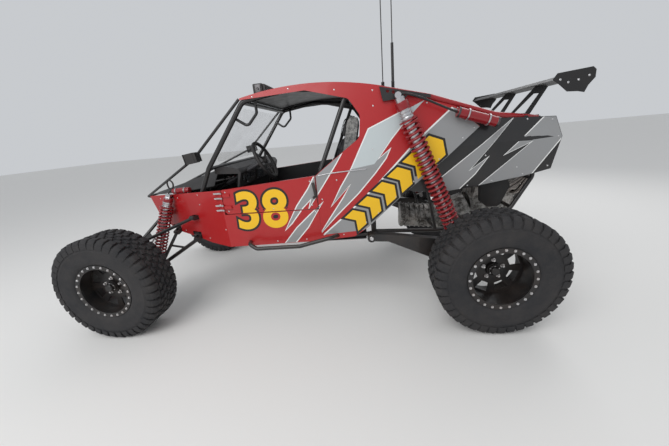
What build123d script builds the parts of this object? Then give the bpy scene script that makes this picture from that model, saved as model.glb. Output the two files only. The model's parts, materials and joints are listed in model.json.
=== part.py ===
from build123d import *
import os
from math import atan2, degrees, tan

# A two-seat sand buggy: tube frame, sheet body panels, long-travel suspension.
# X runs forward, Y to the left and Z up. Inside this file X is counted from the rear
# axle and the left side (plus Y) is drawn, then mirrored. All sizes are in mm.

os.makedirs("parts", exist_ok=True)

# Wheels and tyres
WHEELBASE = 3013
TYRE_R = 444.5
TYRE_W = 318
LUG_H = 15
WHEEL_Y = 916
BEAD_R = 212
TOW_BORE_R = 12.5
RIM_WALL = 8
RIM_W = 254
FLANGE_T = 8
FLANGE_H = 16
RING_T = 12
DISC_T = 10
FRONT_DISC_Y = 945
REAR_DISC_Y = 880
HUB_R = 52
WINDOW_COUNT = 8
LUG_PCD_R = 70

# Body
SKIN_T = 4
BELT_Y = 700
SILL_Z = 640
DOOR_FRONT_X = 2055
DOOR_REAR_X = 1271
DOOR_SILL_Z = 925
DOOR_T = 26
PANEL_GAP = 5
COCKPIT_Y = 600
ROOF_Z = 1853
WING_TAIL_X = -597.5

# Tubes
TUBE = 38
BRACE = 30
POST = 34
THIN = 22
TUBE_INSET = SKIN_T + TUBE / 2 + 5

# Steering and running clearances
KING_TOP = Vector(WHEELBASE - 13, 840, 580)
KING_FOOT = Vector(WHEELBASE + 7, 850, 300)
STEER_ARM = 83
PIN_PLAY = 0.1
SPINDLE_R = 20

# Smallest offcut that is kept when one piece is cut to fit another, as a share of the piece
CRUMB = 0.02

# Shift that brings the middle of the overall length to X = 0
ORIGIN_X = (WHEELBASE + TYRE_R + WING_TAIL_X) / 2


def rod(a, b, d):
    """Round bar of diameter d from point a to point b."""
    a, b = Vector(*a), Vector(*b)
    bar = Cylinder(d / 2, (b - a).length, align=(Align.CENTER, Align.CENTER, Align.MIN))
    return Plane(origin=a, z_dir=b - a) * bar


def bent(points, d, bend):
    """Bent tube of diameter d through points, each corner with radius bend."""
    corners = [Vector(*point) for point in points]
    pieces = []
    start = corners[0]
    for before, here, after in zip(corners, corners[1:], corners[2:]):
        along, onward = (here - before).normalized(), (after - here).normalized()
        turn = atan2(along.cross(onward).length, along.dot(onward))
        setback = bend * tan(turn / 2)
        arc_start = here - along * setback
        inward = (onward - along * along.dot(onward)).normalized()
        hinge = Axis(arc_start + inward * bend, along.cross(onward))
        pieces.append(rod(start, arc_start, d))
        ring = Plane(origin=arc_start, z_dir=along) * Circle(d / 2)
        pieces.append(revolve(ring, axis=hinge, revolution_arc=degrees(turn)))
        start = here + onward * setback
    pieces.append(rod(start, corners[-1], d))
    return pieces[0].fuse(*pieces[1:])


def side_plate(points, y_low, y_high):
    """Plate with a side-view outline of (x, z) points, from y_low to y_high."""
    wire = Polyline(*[(x, y_low, z) for x, z in points], close=True)
    return extrude(make_face(wire), amount=y_high - y_low, dir=(0, 1, 0))


def flip(shape):
    """The same piece on the right side."""
    return mirror(shape, about=Plane.XZ)


def both(shape):
    """The left and the right piece together."""
    return [shape, flip(shape)]


def fuse(pieces):
    """One shape out of pieces that touch."""
    whole = pieces[0]
    for piece in pieces[1:]:
        whole = whole + piece
    return whole


def tilted(x, y, z, axis, radius, length):
    """Cylinder centred at a point along any axis."""
    place = Plane(origin=Vector(x, y, z), z_dir=Vector(*axis))
    return place * Cylinder(radius, length)


# Body sides. Columns: x, sill y, belt y, belt z, roof y
SIDE_STATIONS = [
    (3040, 273, 273, 1056, 230),
    (2070, 680, BELT_Y, 1130, 605),
    (DOOR_REAR_X, 680, BELT_Y, 1200, COCKPIT_Y),
    (742, 640, 652, 1215, 590),
    (40, 590, 600, 1215, 560),
]
SIDE_TOP_Z = 1880


def side_shell(inset, thick):
    """Curtain of sheet metal along the whole left side, lying inset within the body."""
    strips = []
    for x, y_sill, y_belt, z_belt, y_roof in SIDE_STATIONS:
        line = [(y_sill, SILL_Z - 40), (y_belt, z_belt), (y_roof, SIDE_TOP_Z)]
        outer = [(x, y - inset, z) for y, z in line]
        inner = [(x, y - inset - thick, z) for y, z in reversed(line)]
        strips.append(make_face(Polyline(*outer, *inner, close=True)))
    return loft(strips, ruled=True)


def side_y(x, z):
    """Y of the outer skin at a place in side view."""
    for front, rear in zip(SIDE_STATIONS, SIDE_STATIONS[1:]):
        if rear[0] <= x:
            break
    t = (front[0] - x) / (front[0] - rear[0])
    sill, belt, z_belt, roof = (a + t * (b - a) for a, b in zip(front[1:], rear[1:]))
    if z < z_belt:
        return belt + (sill - belt) * (z_belt - z) / (z_belt - SILL_Z + 40)
    return belt + (roof - belt) * (z - z_belt) / (SIDE_TOP_Z - z_belt)


def inside(x, z, inset=TUBE_INSET):
    """Point of a frame tube's centre line just inside the skin."""
    return (x, side_y(x, z) - inset, z)


# Door, side panel and sail panel in side view
BELT_FRONT_Z = 1130
BELT_REAR_Z = 1190
NOSE_TIP = (3004, 1056)


def belt_z(x):
    """Height of the door's top edge and of the nose's upper edge."""
    if x > DOOR_FRONT_X:
        t = (x - DOOR_FRONT_X) / (NOSE_TIP[0] - DOOR_FRONT_X)
        return BELT_FRONT_Z + t * (NOSE_TIP[1] - BELT_FRONT_Z)
    t = (x - DOOR_REAR_X) / (DOOR_FRONT_X - DOOR_REAR_X)
    return BELT_REAR_Z + t * (BELT_FRONT_Z - BELT_REAR_Z)


def prism(face):
    """Side-view face drawn at Y = 0, extruded out past the left side."""
    return extrude(face, amount=900, dir=(0, 1, 0))


def outline(points):
    """Closed side-view face at Y = 0 through (x, z) points."""
    return make_face(Polyline(*[(x, 0, z) for x, z in points], close=True))


def side_panel():
    """Front panel with the sill below the door."""
    edge = DOOR_FRONT_X + PANEL_GAP / 2
    sill = DOOR_SILL_Z - PANEL_GAP / 2
    shape = outline([
        (edge, belt_z(edge)), NOSE_TIP, (2926, 877), (2736, 730), (2450, 686), (2283, 649),
        (2098, 633), (1900, 636), (DOOR_REAR_X, 650), (DOOR_REAR_X, sill), (edge, sill),
    ])
    panel = side_shell(0, SKIN_T) & prism(shape)
    for pivot in (LOW_REAR, LOW_FRONT):
        panel = panel - Pos(pivot.X + 10, 450, pivot.Z) * Box(110, 400, 130)
    return panel


def window_cut():
    """Open side window, with a rounded rear end."""
    edge = Polyline(
        (2100, 0, 1900), (1800, 0, 1787), (1300, 0, 1807), (985, 0, 1722), (905, 0, 1600),
        (918, 0, 1440), (1190, 0, 1250), (DOOR_REAR_X, 0, BELT_REAR_Z), (2100, 0, 1000), close=True)
    face = make_face(edge)
    corners = [v for v in face.vertices() if v.X < 1250 or abs(v.X - 1300) < 1]
    return prism(fillet(corners, 55))


SAIL_DIAGONAL = [(40, 1445), (270, 1249), (597, 989), (884, 740)]


def sail_panel():
    """Big panel behind the door, with the rail above the side window."""
    roof_edge = ThreePointArc((1802, 0, 1800), (1400, 0, ROOF_Z - 2), (742, 0, 1786))
    rest = Polyline(
        (742, 0, 1786), (420, 0, 1665), (218, 0, 1600), *[(x, 0, z) for x, z in SAIL_DIAGONAL],
        (1000, 0, 667), (DOOR_REAR_X - 1, 0, 651), (DOOR_REAR_X - 1, 0, 1500), (1802, 0, 1500),
        (1802, 0, 1800))
    face = make_face([roof_edge, rest])
    return side_shell(0, SKIN_T) & prism(face) - window_cut()


def door():
    """Half-height door with its hinge knuckles."""
    front, rear = DOOR_FRONT_X - PANEL_GAP / 2, DOOR_REAR_X + PANEL_GAP
    shape = outline([
        (front, belt_z(front) - 1), (front, DOOR_SILL_Z + 20), (front - 20, DOOR_SILL_Z + PANEL_GAP / 2),
        (rear + 20, DOOR_SILL_Z + PANEL_GAP / 2), (rear, DOOR_SILL_Z + 20), (rear, BELT_REAR_Z - 1),
    ])
    leaf = side_shell(0, DOOR_T) & prism(shape)
    for z in HINGE_Z:
        knuckle = Pos(HINGE_X, HINGE_Y, z) * Cylinder(HINGE_R, HINGE_H)
        blade = Pos(HINGE_X - 35, HINGE_Y - 9, z) * Box(70, 14, HINGE_H)
        bore = Pos(HINGE_X, HINGE_Y, z) * Cylinder(HINGE_PIN + PIN_PLAY, HINGE_H)
        leaf = leaf + (blade + knuckle) - bore
    return leaf


HINGE_X = DOOR_FRONT_X
HINGE_Y = BELT_Y + 8
HINGE_R = 8
HINGE_PIN = 4
HINGE_H = 26
HINGE_Z = (985, 1085)


def hinges():
    """Pins with their ends and leaves, fixed to the side panel."""
    made = []
    for z in HINGE_Z:
        pin = Pos(HINGE_X, HINGE_Y, z) * Cylinder(HINGE_PIN, 2 * HINGE_H)
        for end in (-1, 1):
            place = Pos(HINGE_X, HINGE_Y, z + end * (HINGE_H * 0.75 + 0.5))
            pin = pin + place * Cylinder(HINGE_R, HINGE_H / 2 - 1)
            blade = Pos(HINGE_X + 35, HINGE_Y - 14, z + end * (HINGE_H * 0.75 + 0.5))
            pin = pin + blade * Box(58, 20, HINGE_H / 2 - 1)
        made.append(pin)
    return made


# Roof
ROOF_FRONT_X = 1802
ROOF_REAR_X = 742


def roof_panel():
    """Crowned roof skin between the two sail panels."""
    half = COCKPIT_Y - SKIN_T - 4
    arc_top = ThreePointArc(
        (ROOF_FRONT_X, -half, 1799), (1400, -half, ROOF_Z), (ROOF_REAR_X, -half, 1784))
    arc_low = ThreePointArc(
        (ROOF_REAR_X, -half, 1780), (1400, -half, ROOF_Z - 4), (ROOF_FRONT_X, -half, 1795))
    ends = [Line(arc_top @ 1, arc_low @ 0), Line(arc_low @ 1, arc_top @ 0)]
    return extrude(make_face([arc_top, arc_low, *ends]), amount=2 * half, dir=(0, 1, 0))


# Hood. Columns: x, half width, edge z, crown z
HOOD_STATIONS = [
    (2990, 228, 1062, 1085),
    (2600, 400, 1092, 1175),
    (2175, 556, 1150, 1285),
]


def hood_section(x, half, z_edge, z_crown, drop):
    """Flat-topped section of the hood."""
    line = [(-half, z_edge), (-half * 0.75, z_crown - 12), (half * 0.75, z_crown - 12), (half, z_edge)]
    points = [(x, y, z - drop) for y, z in line]
    return points


def hood_z(x):
    """Height of the hood's flat top."""
    for front, rear in zip(HOOD_STATIONS, HOOD_STATIONS[1:]):
        if rear[0] <= x:
            break
    t = (front[0] - x) / (front[0] - rear[0])
    return front[3] + t * (rear[3] - front[3]) - 12


def hood():
    """Sheet over the nose, from the bumper to the windscreen's foot."""
    sections = []
    for station in HOOD_STATIONS:
        upper = hood_section(*station, 0)
        lower = hood_section(*station, SKIN_T)
        sections.append(make_face(Polyline(*upper, *reversed(lower), close=True)))
    return loft(sections, ruled=True)


def belly_pan():
    """Floor sheet, flat under the cockpit and rising into the nose."""
    points = [
        (905, SILL_Z - SKIN_T), (2150, SILL_Z - SKIN_T), (2450, 682), (2736, 726), (2926, 873),
        (2922, 877), (2734, 730), (2450, 686), (2150, SILL_Z), (905, SILL_Z),
    ]
    sheet = side_plate(points, -675, 675)
    plan = Polyline(
        (900, -655), (2070, -676), (3000, -270), (3000, 270), (2070, 676), (900, 655), close=True)
    return sheet & extrude(Pos(0, 0, 500) * make_face(plan), amount=600)


# Frame


def cross_tube(x, z, d, y=None):
    """Straight tube from side to side between the left and right rails."""
    y = side_y(x, z) - TUBE_INSET if y is None else y
    return rod((x, -y, z), (x, y, z), d)


def tabs(places):
    """Short studs from the tubes to the back of the skin, on both sides."""
    studs = []
    for x, z in places:
        studs += both(rod(inside(x, z), (x, side_y(x, z) - SKIN_T / 2, z), 16))
    return studs


RAIL_Z = SILL_Z + TUBE / 2 - 1


def floor_tubes():
    """Lower rails and their cross tubes."""
    rail = bent([
        (828, 600, RAIL_Z + 8), inside(1271, RAIL_Z), inside(2100, RAIL_Z), inside(2450, 704),
        inside(2736, 749), inside(2926, 899), inside(2985, 1035)], TUBE, 45)
    pieces = [*both(rail), cross_tube(836, RAIL_Z + 8, POST, 598)]
    for x, z, d in [(1271, RAIL_Z, BRACE), (1660, RAIL_Z, BRACE), (2086, RAIL_Z, POST),
                    (2450, 704, BRACE), (2736, 749, POST), (2926, 899, BRACE)]:
        pieces.append(cross_tube(x, z, d))
    return pieces


def cage_tubes():
    """Roof rails, posts and hoops round the cockpit."""
    rail = bent([
        inside(2290, 1092), inside(2160, 1300), inside(1790, 1778), inside(1420, 1831),
        inside(750, 1762)], TUBE, 90)
    door_post = bent([inside(985, 1788), inside(1235, 1215), inside(1243, RAIL_Z + 4)], POST, 90)
    front_post = rod(inside(2088, RAIL_Z + 2), inside(2084, 1098), BRACE)
    rear_post = bent([(846, 602, RAIL_Z + 9), inside(850, 1175), inside(769, 1757)], POST, 120)
    belt = rod(inside(1237, 1150), inside(850, 1130), BRACE)
    handle = bent([
        (1700, 566, 1795), (1700, 560, 1690), (1790, 556, 1600), (1880, 572, 1665)], THIN, 35)
    pieces = []
    for tube in (rail, door_post, front_post, rear_post, belt, handle):
        pieces += both(tube)
    for x, z, d in [(1793, 1773, POST), (992, 1781, POST - 2), (770, 1763, POST), (2159, 1299, BRACE),
                    (828, 1330, BRACE)]:
        pieces.append(cross_tube(x, z, d))
    return pieces


def nose_tubes():
    """Upper nose rails, bulkhead posts and the long outer tubes."""
    top = bent([inside(2980, 1034), inside(2700, 1050), inside(2240, 1092), inside(2066, 1103)], POST, 120)
    outer = [(1815, 590, 1797), (2260, 612, 1395), (3060, 250, 1045), (3085, 150, 1040)]
    hoop = bent(outer + [(x, -y, z) for x, y, z in reversed(outer)], THIN, 60)
    stub = rod(inside(2975, 1034), (3052, 254, 1048), THIN - 4)
    pieces = [*both(top), hoop, *both(stub)]
    for x, low, high in [(2450, 706, 1074), (2736, 751, 1048)]:
        pieces += both(rod(inside(x, low), inside(x, high), BRACE - 2))
        pieces.append(cross_tube(x, high, BRACE - 4))
    return pieces


def rear_tubes():
    """Cradle round the gearbox and the engine."""
    low = bent([
        (838, 560, 668), (300, 420, 600), (-180, 380, 640), (-330, 380, 760), (-470, 380, 1010),
        (-440, 420, 1480)], POST, 60)
    high = bent([(830, 520, 1330), (420, 500, 1120), (-455, 420, 1100)], BRACE, 60)
    post = rod((301, 421, 600), (418, 499, 1118), BRACE - 4)
    stay = rod((829, 540, 1328), (837, 562, 670), BRACE + 2)
    link = rod((-440, 421, 1478), (-300, 421, 1478), BRACE - 2)
    top_stud = rod((-300, 421, 1478), (-300, 536, 1478), BRACE - 4)
    tail_stud = rod((-452, 400, 1300), (-448, 569, 1300), 16)
    mid_stud = rod((440, 502, 1130), (440, 575, 1130), 16)
    pieces = []
    for tube in (low, high, post, stay, link, top_stud, tail_stud, mid_stud):
        pieces += both(tube)
    for x, y, z, d in [(300, 420, 600, BRACE - 2), (-330, 380, 758, BRACE), (-464, 386, 1000, BRACE),
                       (400, 496, 1118, BRACE - 4), (620, 508, 1216, BRACE - 4),
                       (-441, 421, 1470, BRACE - 4), (-301, 421, 1478, BRACE - 6)]:
        pieces.append(cross_tube(x, z, d, y))
    return pieces


def fittings():
    """Arm brackets, shock studs and hood studs welded to the tubes."""
    pieces = []
    for pivot, x, z in [(UP_REAR, 2450, 885), (UP_FRONT, 2736, 880), (LOW_REAR, 2450, 712),
                        (LOW_FRONT, 2736, 755)]:
        pieces += both(arm_bracket(pivot, Vector(*inside(x, z))))
    pieces += both(rod(SHOCK_TOP, inside(2670, 1052), 26))
    for x, low in [(2450, 1074), (2736, 1048)]:
        pieces += both(rod((x, 200, low), (x, 200, hood_z(x) - SKIN_T / 2), 16))
    return pieces


def skin_studs():
    """Studs that carry the body panels."""
    return tabs([
        (1400, RAIL_Z), (1900, RAIL_Z), (2300, 684), (2600, 728), (1420, 1829), (1236, 1000),
        (1110, 1143), (826, 1350), (2085, 1000), (2330, 1084), (2600, 1058), (2850, 1042)])


# The welded frame is handed over in sections. Columns: name, low x, high x, low z, high z
FRAME_SECTIONS = [
    ("nose_frame", 2200, 3200, 500, 1900),
    ("roll_cage", 745, 2200, 720, 1900),
    ("floor_frame", 745, 2200, 500, 720),
    ("rear_frame", -700, 745, 500, 1900),
]


def frame_section(frame, x_low, x_high, z_low, z_high):
    """The part of the welded frame inside one block of space."""
    block = Box(x_high - x_low, 2000, z_high - z_low, align=(Align.MIN, Align.CENTER, Align.MIN))
    return frame & Pos(x_low, 0, z_low) * block


# Tail quarter panels. Columns: x, lower y, crease y, crease z, upper y
TAIL_STATIONS = [
    (620, 566, 576, 1300, 540),
    (-560, 560, 572, 1330, 540),
]


def quarter_panel():
    """Panel beside the engine with an upper facet that leans in."""
    strips = []
    for x, y_low, y_crease, z_crease, y_high in TAIL_STATIONS:
        line = [(y_low, 960), (y_crease, z_crease), (y_high, 1560)]
        outer = [(x, y, z) for y, z in line]
        inner = [(x, y - SKIN_T, z) for y, z in reversed(line)]
        strips.append(make_face(Polyline(*outer, *inner, close=True)))
    shape = outline([
        (90, 1478), (-90, 1491), (-493, 1470), (-541, 1327), (-495, 1097), (-311, 1052),
        (11, 1002), (255, 970), (512, 985), (600, 1030), (330, 1250),
    ])
    return loft(strips, ruled=True) & prism(shape)


def downtube():
    """Painted tube from the roof's rear corner down to the tail."""
    return bent([(752, 585, 1770), (400, 588, 1680), (-64, 560, 1518), (-405, 470, 1470)], TUBE, 200)


def gusset():
    """Drilled plate that holds the coilover's head beside the downtube."""
    rim = make_face([
        Polyline((613, 0, 1656), (557, 0, 1700), (404, 0, 1668), (398, 0, 1690), (758, 0, 1776),
                 (735, 0, 1676), (680, 0, 1680)),
        ThreePointArc((680, 0, 1680), (648, 0, 1680), (613, 0, 1656))])
    plate = extrude(rim, amount=8, dir=(0, 1, 0))
    for x, z in [(700, 1740), (660, 1731), (580, 1712)]:
        plate = plate - tilted(x, 4, z, (0, 1, 0), 11, 20)
    plate = Pos(0, 622, 0) * plate
    stud = rod((COIL_TOP.X, 626, COIL_TOP.Z), COIL_TOP, 30)
    bosses = [rod((x, 590, z), (x, 626, z), 20) for x, z in ((720, 1755), (440, 1676))]
    return fuse([plate, stud, *bosses])


def firewall():
    """Upright sheet behind the seats."""
    x = 843
    plan = Polyline(
        (x, -570, 690), (x, 570, 690), (x, 600, 1190), (x, 555, 1700), (x, -555, 1700),
        (x, -600, 1190), close=True)
    return extrude(make_face(plan), amount=3, dir=(1, 0, 0))


# Cockpit
SEAT_Y = 290
SEAT_W = 430


def seat():
    """Bucket seat: base, reclined back with side wings."""
    side = outline([
        (1060, 700), (1500, 735), (1530, 790), (1505, 830), (1230, 790), (1160, 830), (1010, 1560),
        (985, 1600), (925, 1590), (925, 1540), (1030, 1000),
    ])
    seat_body = extrude(side, amount=SEAT_W, dir=(0, 1, 0))
    seat_body = Pos(0, SEAT_Y - SEAT_W / 2, 0) * seat_body
    wing = outline([(1120, 780), (1500, 800), (1500, 870), (1290, 880), (1150, 1150), (1080, 1330), (1040, 1300)])
    for side_sign in (-1, 1):
        y = SEAT_Y + side_sign * (SEAT_W / 2 - 30) - 30
        seat_body = seat_body + Pos(0, y, 0) * extrude(wing, amount=60, dir=(0, 1, 0))
        seat_body = seat_body + Pos(1290, y + 30, 680) * Box(380, 30, 90)
    return seat_body


def dashboard():
    """Hooded dash across the cockpit."""
    shape = outline([(2150, 1245), (2150, 1290), (2060, 1305), (1945, 1275), (1925, 1240), (1960, 1120), (1975, 1120), (1950, 1235)])
    body = extrude(shape, amount=1090, dir=(0, 1, 0))
    return Pos(0, -545, 0) * body


def windscreen():
    """Flat laminated glass between the posts."""
    low, high = Vector(2120, 0, 1345), Vector(1812, 0, 1735)
    lean = Plane(origin=(low + high) * 0.5, x_dir=(0, 1, 0), z_dir=(high - low).cross(Vector(0, 1, 0)))
    sheet = RectangleRounded(1116, (high - low).length, 60)
    return extrude(lean * sheet, amount=5)


STEER_AXIS = Vector(-0.905, 0, 0.426)
STEER_HUB = Vector(1754, 380, 1319)
STEER_R = 175
COLUMN_R = 12


def steering_wheel():
    """Rim, three spokes and hub."""
    plane = Plane(origin=STEER_HUB, x_dir=(0, 1, 0), z_dir=STEER_AXIS)
    ring = Torus(STEER_R - 15, 15)
    wheel = ring + Cylinder(32, 26)
    for angle in (90, 210, 330):
        spoke = Pos((STEER_R - 15) / 2, 0, 0) * Box(STEER_R - 18, 26, 6)
        wheel = wheel + Rot(0, 0, angle) * spoke
    shaft_hole = Pos(0, 0, -13) * Cylinder(COLUMN_R + PIN_PLAY, 20)
    return plane * (wheel - shaft_hole)


def steering_column():
    """Shaft from the steering wheel through the dash to the rack."""
    start = STEER_HUB + STEER_AXIS * -4
    end = STEER_HUB + STEER_AXIS * -420
    shaft = rod(start, end, 2 * COLUMN_R)
    sleeve = rod((STEER_HUB + STEER_AXIS * -60), end, 44)
    lower = rod(end, (2870, 150, 830), 2 * COLUMN_R)
    return shaft + sleeve + lower


# Front suspension
UP_REAR = Vector(2420, 585, 885)
UP_FRONT = Vector(2800, 425, 900)
LOW_REAR = Vector(2442, 560, 675)
LOW_FRONT = Vector(2700, 455, 720)
SHOCK_TOP = Vector(2670, 478, 1080)
SHOCK_FOOT = Vector(WHEELBASE - 128, 548, 500)
EYE_R = 22
BRAKE_R = 115
EYE_H = 26
ARM_TUBE = 28


def king_point(t):
    """Point along the kingpin axis, 0 at its foot and 1 at its top."""
    return KING_FOOT + (KING_TOP - KING_FOOT) * t


KING_DIR = (KING_TOP - KING_FOOT).normalized()


def eye(at, height):
    """Bored end of an arm on the kingpin."""
    ring = Plane(origin=at, z_dir=KING_DIR) * (Cylinder(EYE_R, height) - Cylinder(10 + PIN_PLAY, height))
    return ring


def upper_arm():
    """Upper wishbone: two bent legs and a gusset at the apex."""
    apex = KING_TOP
    hole = Plane(origin=apex, z_dir=KING_DIR) * Cylinder(EYE_R - 4, 200)
    outer = WHEELBASE
    rear = bent([UP_REAR, (outer - 83, 600, 700), (outer - 13, 668, 665), apex], ARM_TUBE, 30)
    front = rod(UP_FRONT, (outer - 48, 625, 690), ARM_TUBE)
    gusset_plate = make_face(Polyline(
        (outer - 173, 596, 735), (outer - 113, 548, 768), (outer - 28, 650, 680), close=True))
    web = extrude(gusset_plate, amount=3, both=True)
    arm = (rear + front + web - hole) + eye(apex, EYE_H)
    for pivot in (UP_REAR, UP_FRONT):
        arm = arm + tilted(*pivot, PIVOT_DIR, 20, 40)
    return arm


PIVOT_DIR = Vector(380, -160, 15).normalized()


def lower_arm():
    """Lower wishbone, boxed where the coilover stands."""
    apex = KING_FOOT
    hole = Plane(origin=apex, z_dir=KING_DIR) * Cylinder(EYE_R - 4, 200)
    rear_end = Vector(WHEELBASE - 163, 600, 440)
    front_end = Vector(WHEELBASE - 171, 590, 446)
    rear = rod(LOW_REAR, rear_end, ARM_TUBE + 6)
    front = rod(LOW_FRONT, front_end, ARM_TUBE)
    outer = bent([
        (WHEELBASE - 183, 586, 452), (WHEELBASE - 63, 655, 400), (WHEELBASE - 3, 740, 310), apex],
        ARM_TUBE + 10, 40)
    arm = (rear + front + outer - hole) + eye(apex, EYE_H)
    arm = arm + rod(LOW_REAR + (rear_end - LOW_REAR) * 0.3, LOW_FRONT + (front_end - LOW_FRONT) * 0.4, 20)
    arm = arm + rod(SHOCK_FOOT, (WHEELBASE - 88, 640, 415), 24)
    for pivot in (LOW_REAR, LOW_FRONT):
        arm = arm + tilted(*pivot, PIVOT_DIR, 20, 40)
    return arm


def arm_bracket(pivot, anchor):
    """Fork that holds one arm pivot, with a stem to the frame at anchor."""
    inward = anchor - pivot
    inward = (inward - PIVOT_DIR * inward.dot(PIVOT_DIR)).normalized()
    ears = [Pos(20, 0, end * 24) * Box(40, 36, 8) + Pos(0, 0, end * 24) * Cylinder(18, 8) for end in (-1, 1)]
    fork = fuse([*ears, Pos(42, 0, 0) * Box(8, 36, 56)])
    stem = rod(pivot + inward * 42, anchor, 26)
    return Plane(origin=pivot, x_dir=inward, z_dir=PIVOT_DIR) * fork + stem


def shock(top, foot, body_r, rod_r):
    """Damper between two eyes."""
    run = foot - top
    axis = run.normalized()
    parts = [
        rod((top + axis * 18), (top + run * 0.62), 2 * body_r),
        rod((top + run * 0.5), (foot - axis * 10), 2 * rod_r),
        tilted(*(top + axis * 60), axis, body_r + 9, 14),
        tilted(*(foot - axis * 42), axis, body_r + 22, 10),
    ]
    for end in (top, foot):
        parts.append(tilted(*end, (0, 1, 0), 22, 34))
    return fuse(parts)


def spring(top, foot, body_r, wire, coils):
    """Coil spring as a ridged sleeve round the damper."""
    run = foot - top
    axis = run.normalized()
    start, end = top + axis * 67.5, foot - axis * 47.5
    length = (end - start).length
    pitch = length / coils
    inner, outer = body_r + 2, body_r + 2 + wire * 1.4
    points = [(inner, 0)]
    for coil in range(coils):
        base = coil * pitch
        points += [(outer - wire * 0.6, base), (outer, base + pitch * 0.25), (outer, base + pitch * 0.6),
                   (outer - wire * 0.6, base + pitch * 0.85)]
    points += [(outer - wire * 0.6, length), (inner, length)]
    profile = make_face(Polyline(*[(r, 0, z) for r, z in points], close=True))
    sleeve = revolve(profile, axis=Axis.Z)
    return Plane(origin=start, z_dir=axis) * sleeve


# Rear suspension
TRAIL_PIVOT = Vector(865, 690, 668)
TRAIL_Y = (668, 728)
COIL_TOP = Vector(637, 700, 1700)
COIL_FOOT = Vector(215, 700, 665)


def trailing_arm():
    """Boxed trailing arm with bearing housing and stub shaft."""
    side = outline([
        (865, 700), (720, 690), (195, 612), (60, 540), (-70, 500), (-75, 400), (60, 372), (263, 415),
        (735, 632), (865, 640)])
    arm = Pos(0, TRAIL_Y[0], 0) * extrude(side, amount=TRAIL_Y[1] - TRAIL_Y[0], dir=(0, 1, 0))
    arm = arm + tilted(*TRAIL_PIVOT, (0, 1, 0), 34, 90)
    leg = rod((700, 690, 655), (835, 575, 668), 34)
    housing = tilted(0, 715, TYRE_R, (0, 1, 0), 78, 120)
    stub = tilted(0, 815, TYRE_R, (0, 1, 0), SPINDLE_R, 120)
    post = side_plate([(190, 600), (245, 600), (235, 645), (200, 645)], 684, 716)
    return arm + leg + housing + stub + post


def rim(disc_y):
    """Wheel with its beadlock ring, disc windows and hub."""
    inner, outer = WHEEL_Y - RIM_W / 2, WHEEL_Y + RIM_W / 2
    barrel_in = BEAD_R - RIM_WALL
    flange = BEAD_R + FLANGE_H
    profile = Polyline(
        (barrel_in, inner - FLANGE_T, 0), (flange, inner - FLANGE_T, 0), (flange, inner, 0),
        (BEAD_R, inner, 0), (BEAD_R, outer, 0), (flange, outer, 0), (flange + 4, outer + RING_T, 0),
        (barrel_in - 8, outer + RING_T, 0), (barrel_in, outer - 10, 0), close=True)
    wheel = revolve(make_face(profile), axis=Axis.Y)
    disc = Polyline(
        (SPINDLE_R + PIN_PLAY, disc_y - 60, 0), (HUB_R, disc_y - 60, 0), (HUB_R + 6, disc_y - DISC_T, 0),
        (barrel_in + 2, disc_y - DISC_T, 0), (barrel_in + 2, disc_y, 0), (HUB_R, disc_y, 0),
        (HUB_R - 4, disc_y + 24, 0), (SPINDLE_R + PIN_PLAY, disc_y + 24, 0), close=True)
    wheel = wheel + revolve(make_face(disc), axis=Axis.Y)
    for i in range(WINDOW_COUNT):
        angle = 360 / WINDOW_COUNT * (i + 0.5)
        window = Polyline((118, disc_y, -26), (186, disc_y, -48), (186, disc_y, 48), (118, disc_y, 26), close=True)
        tool = extrude(make_face(window), amount=3 * DISC_T, dir=(0, 1, 0), both=True)
        wheel = wheel - Rot(0, angle, 0) * tool
    return wheel


def tyre():
    """Tyre carcass, out to the tips of its lugs."""
    half = RIM_W / 2
    play = 0.3
    outer = [
        (BEAD_R + play, half), (BEAD_R + FLANGE_H + 2, half), (BEAD_R + FLANGE_H + 12, half + 16),
        (325, TYRE_W / 2), (415, TYRE_W / 2 - 4), (TYRE_R - 3, TYRE_W / 2 - 26), (TYRE_R, TYRE_W / 2 - 60)]
    inner = [
        (TYRE_R - 30, TYRE_W / 2 - 55), (405, TYRE_W / 2 - 24), (325, TYRE_W / 2 - 18),
        (BEAD_R + FLANGE_H + 12, half - 4), (BEAD_R + play, half - 22)]
    right = [(r, WHEEL_Y - y, 0) for r, y in reversed(outer)]
    right += [(r, WHEEL_Y - y, 0) for r, y in reversed(inner)]
    left = [(r, WHEEL_Y + y, 0) for r, y in inner] + [(r, WHEEL_Y + y, 0) for r, y in outer]
    return revolve(make_face(Polyline(*left, *right, close=True)), axis=Axis.Y)


def at_wheel(shape, x):
    """Wheel piece brought to its axle."""
    return Pos(x, 0, TYRE_R) * shape


def knuckle():
    """Upright with kingpin ends, spindle, brake disc and steering arm."""
    axle = Vector(WHEELBASE, WHEEL_Y, TYRE_R)
    post = rod(king_point(0.08), king_point(0.92), 44)
    pins = rod(king_point(-0.06), king_point(1.06), 20)
    spindle = rod((axle.X, 840, axle.Z), (axle.X, FRONT_DISC_Y + 10, axle.Z), 2 * SPINDLE_R)
    flange = tilted(axle.X, 868, axle.Z, (0, 1, 0), 34, 26)
    arm_end = king_point(0.72) + Vector(-STEER_ARM, -6, 0)
    arm = rod(king_point(0.72), arm_end, 24)
    tip = tilted(*arm_end, (0, 0, 1), 17, 20)
    disc = tilted(axle.X, 868, axle.Z, (0, 1, 0), BRAKE_R, 10)
    return post + pins + spindle + flange + arm + tip + disc


RACK_Y = 280
RACK_X = 2932
RACK_Z = 800
RACK_R = 14


def tie_rods():
    """Rack bar with both tie rods."""
    bar = rod((RACK_X, -RACK_Y, RACK_Z), (RACK_X, RACK_Y, RACK_Z), 2 * RACK_R)
    end = king_point(0.72) + Vector(-STEER_ARM, -6, -32)
    link = rod((RACK_X, RACK_Y - 4, RACK_Z), end, 18)
    ball = Pos(RACK_X, RACK_Y, RACK_Z) * Sphere(20)
    ring = tilted(*end, (0, 0, 1), 16, 16)
    side = link + ball + ring
    return bar + side + flip(side)


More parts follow.
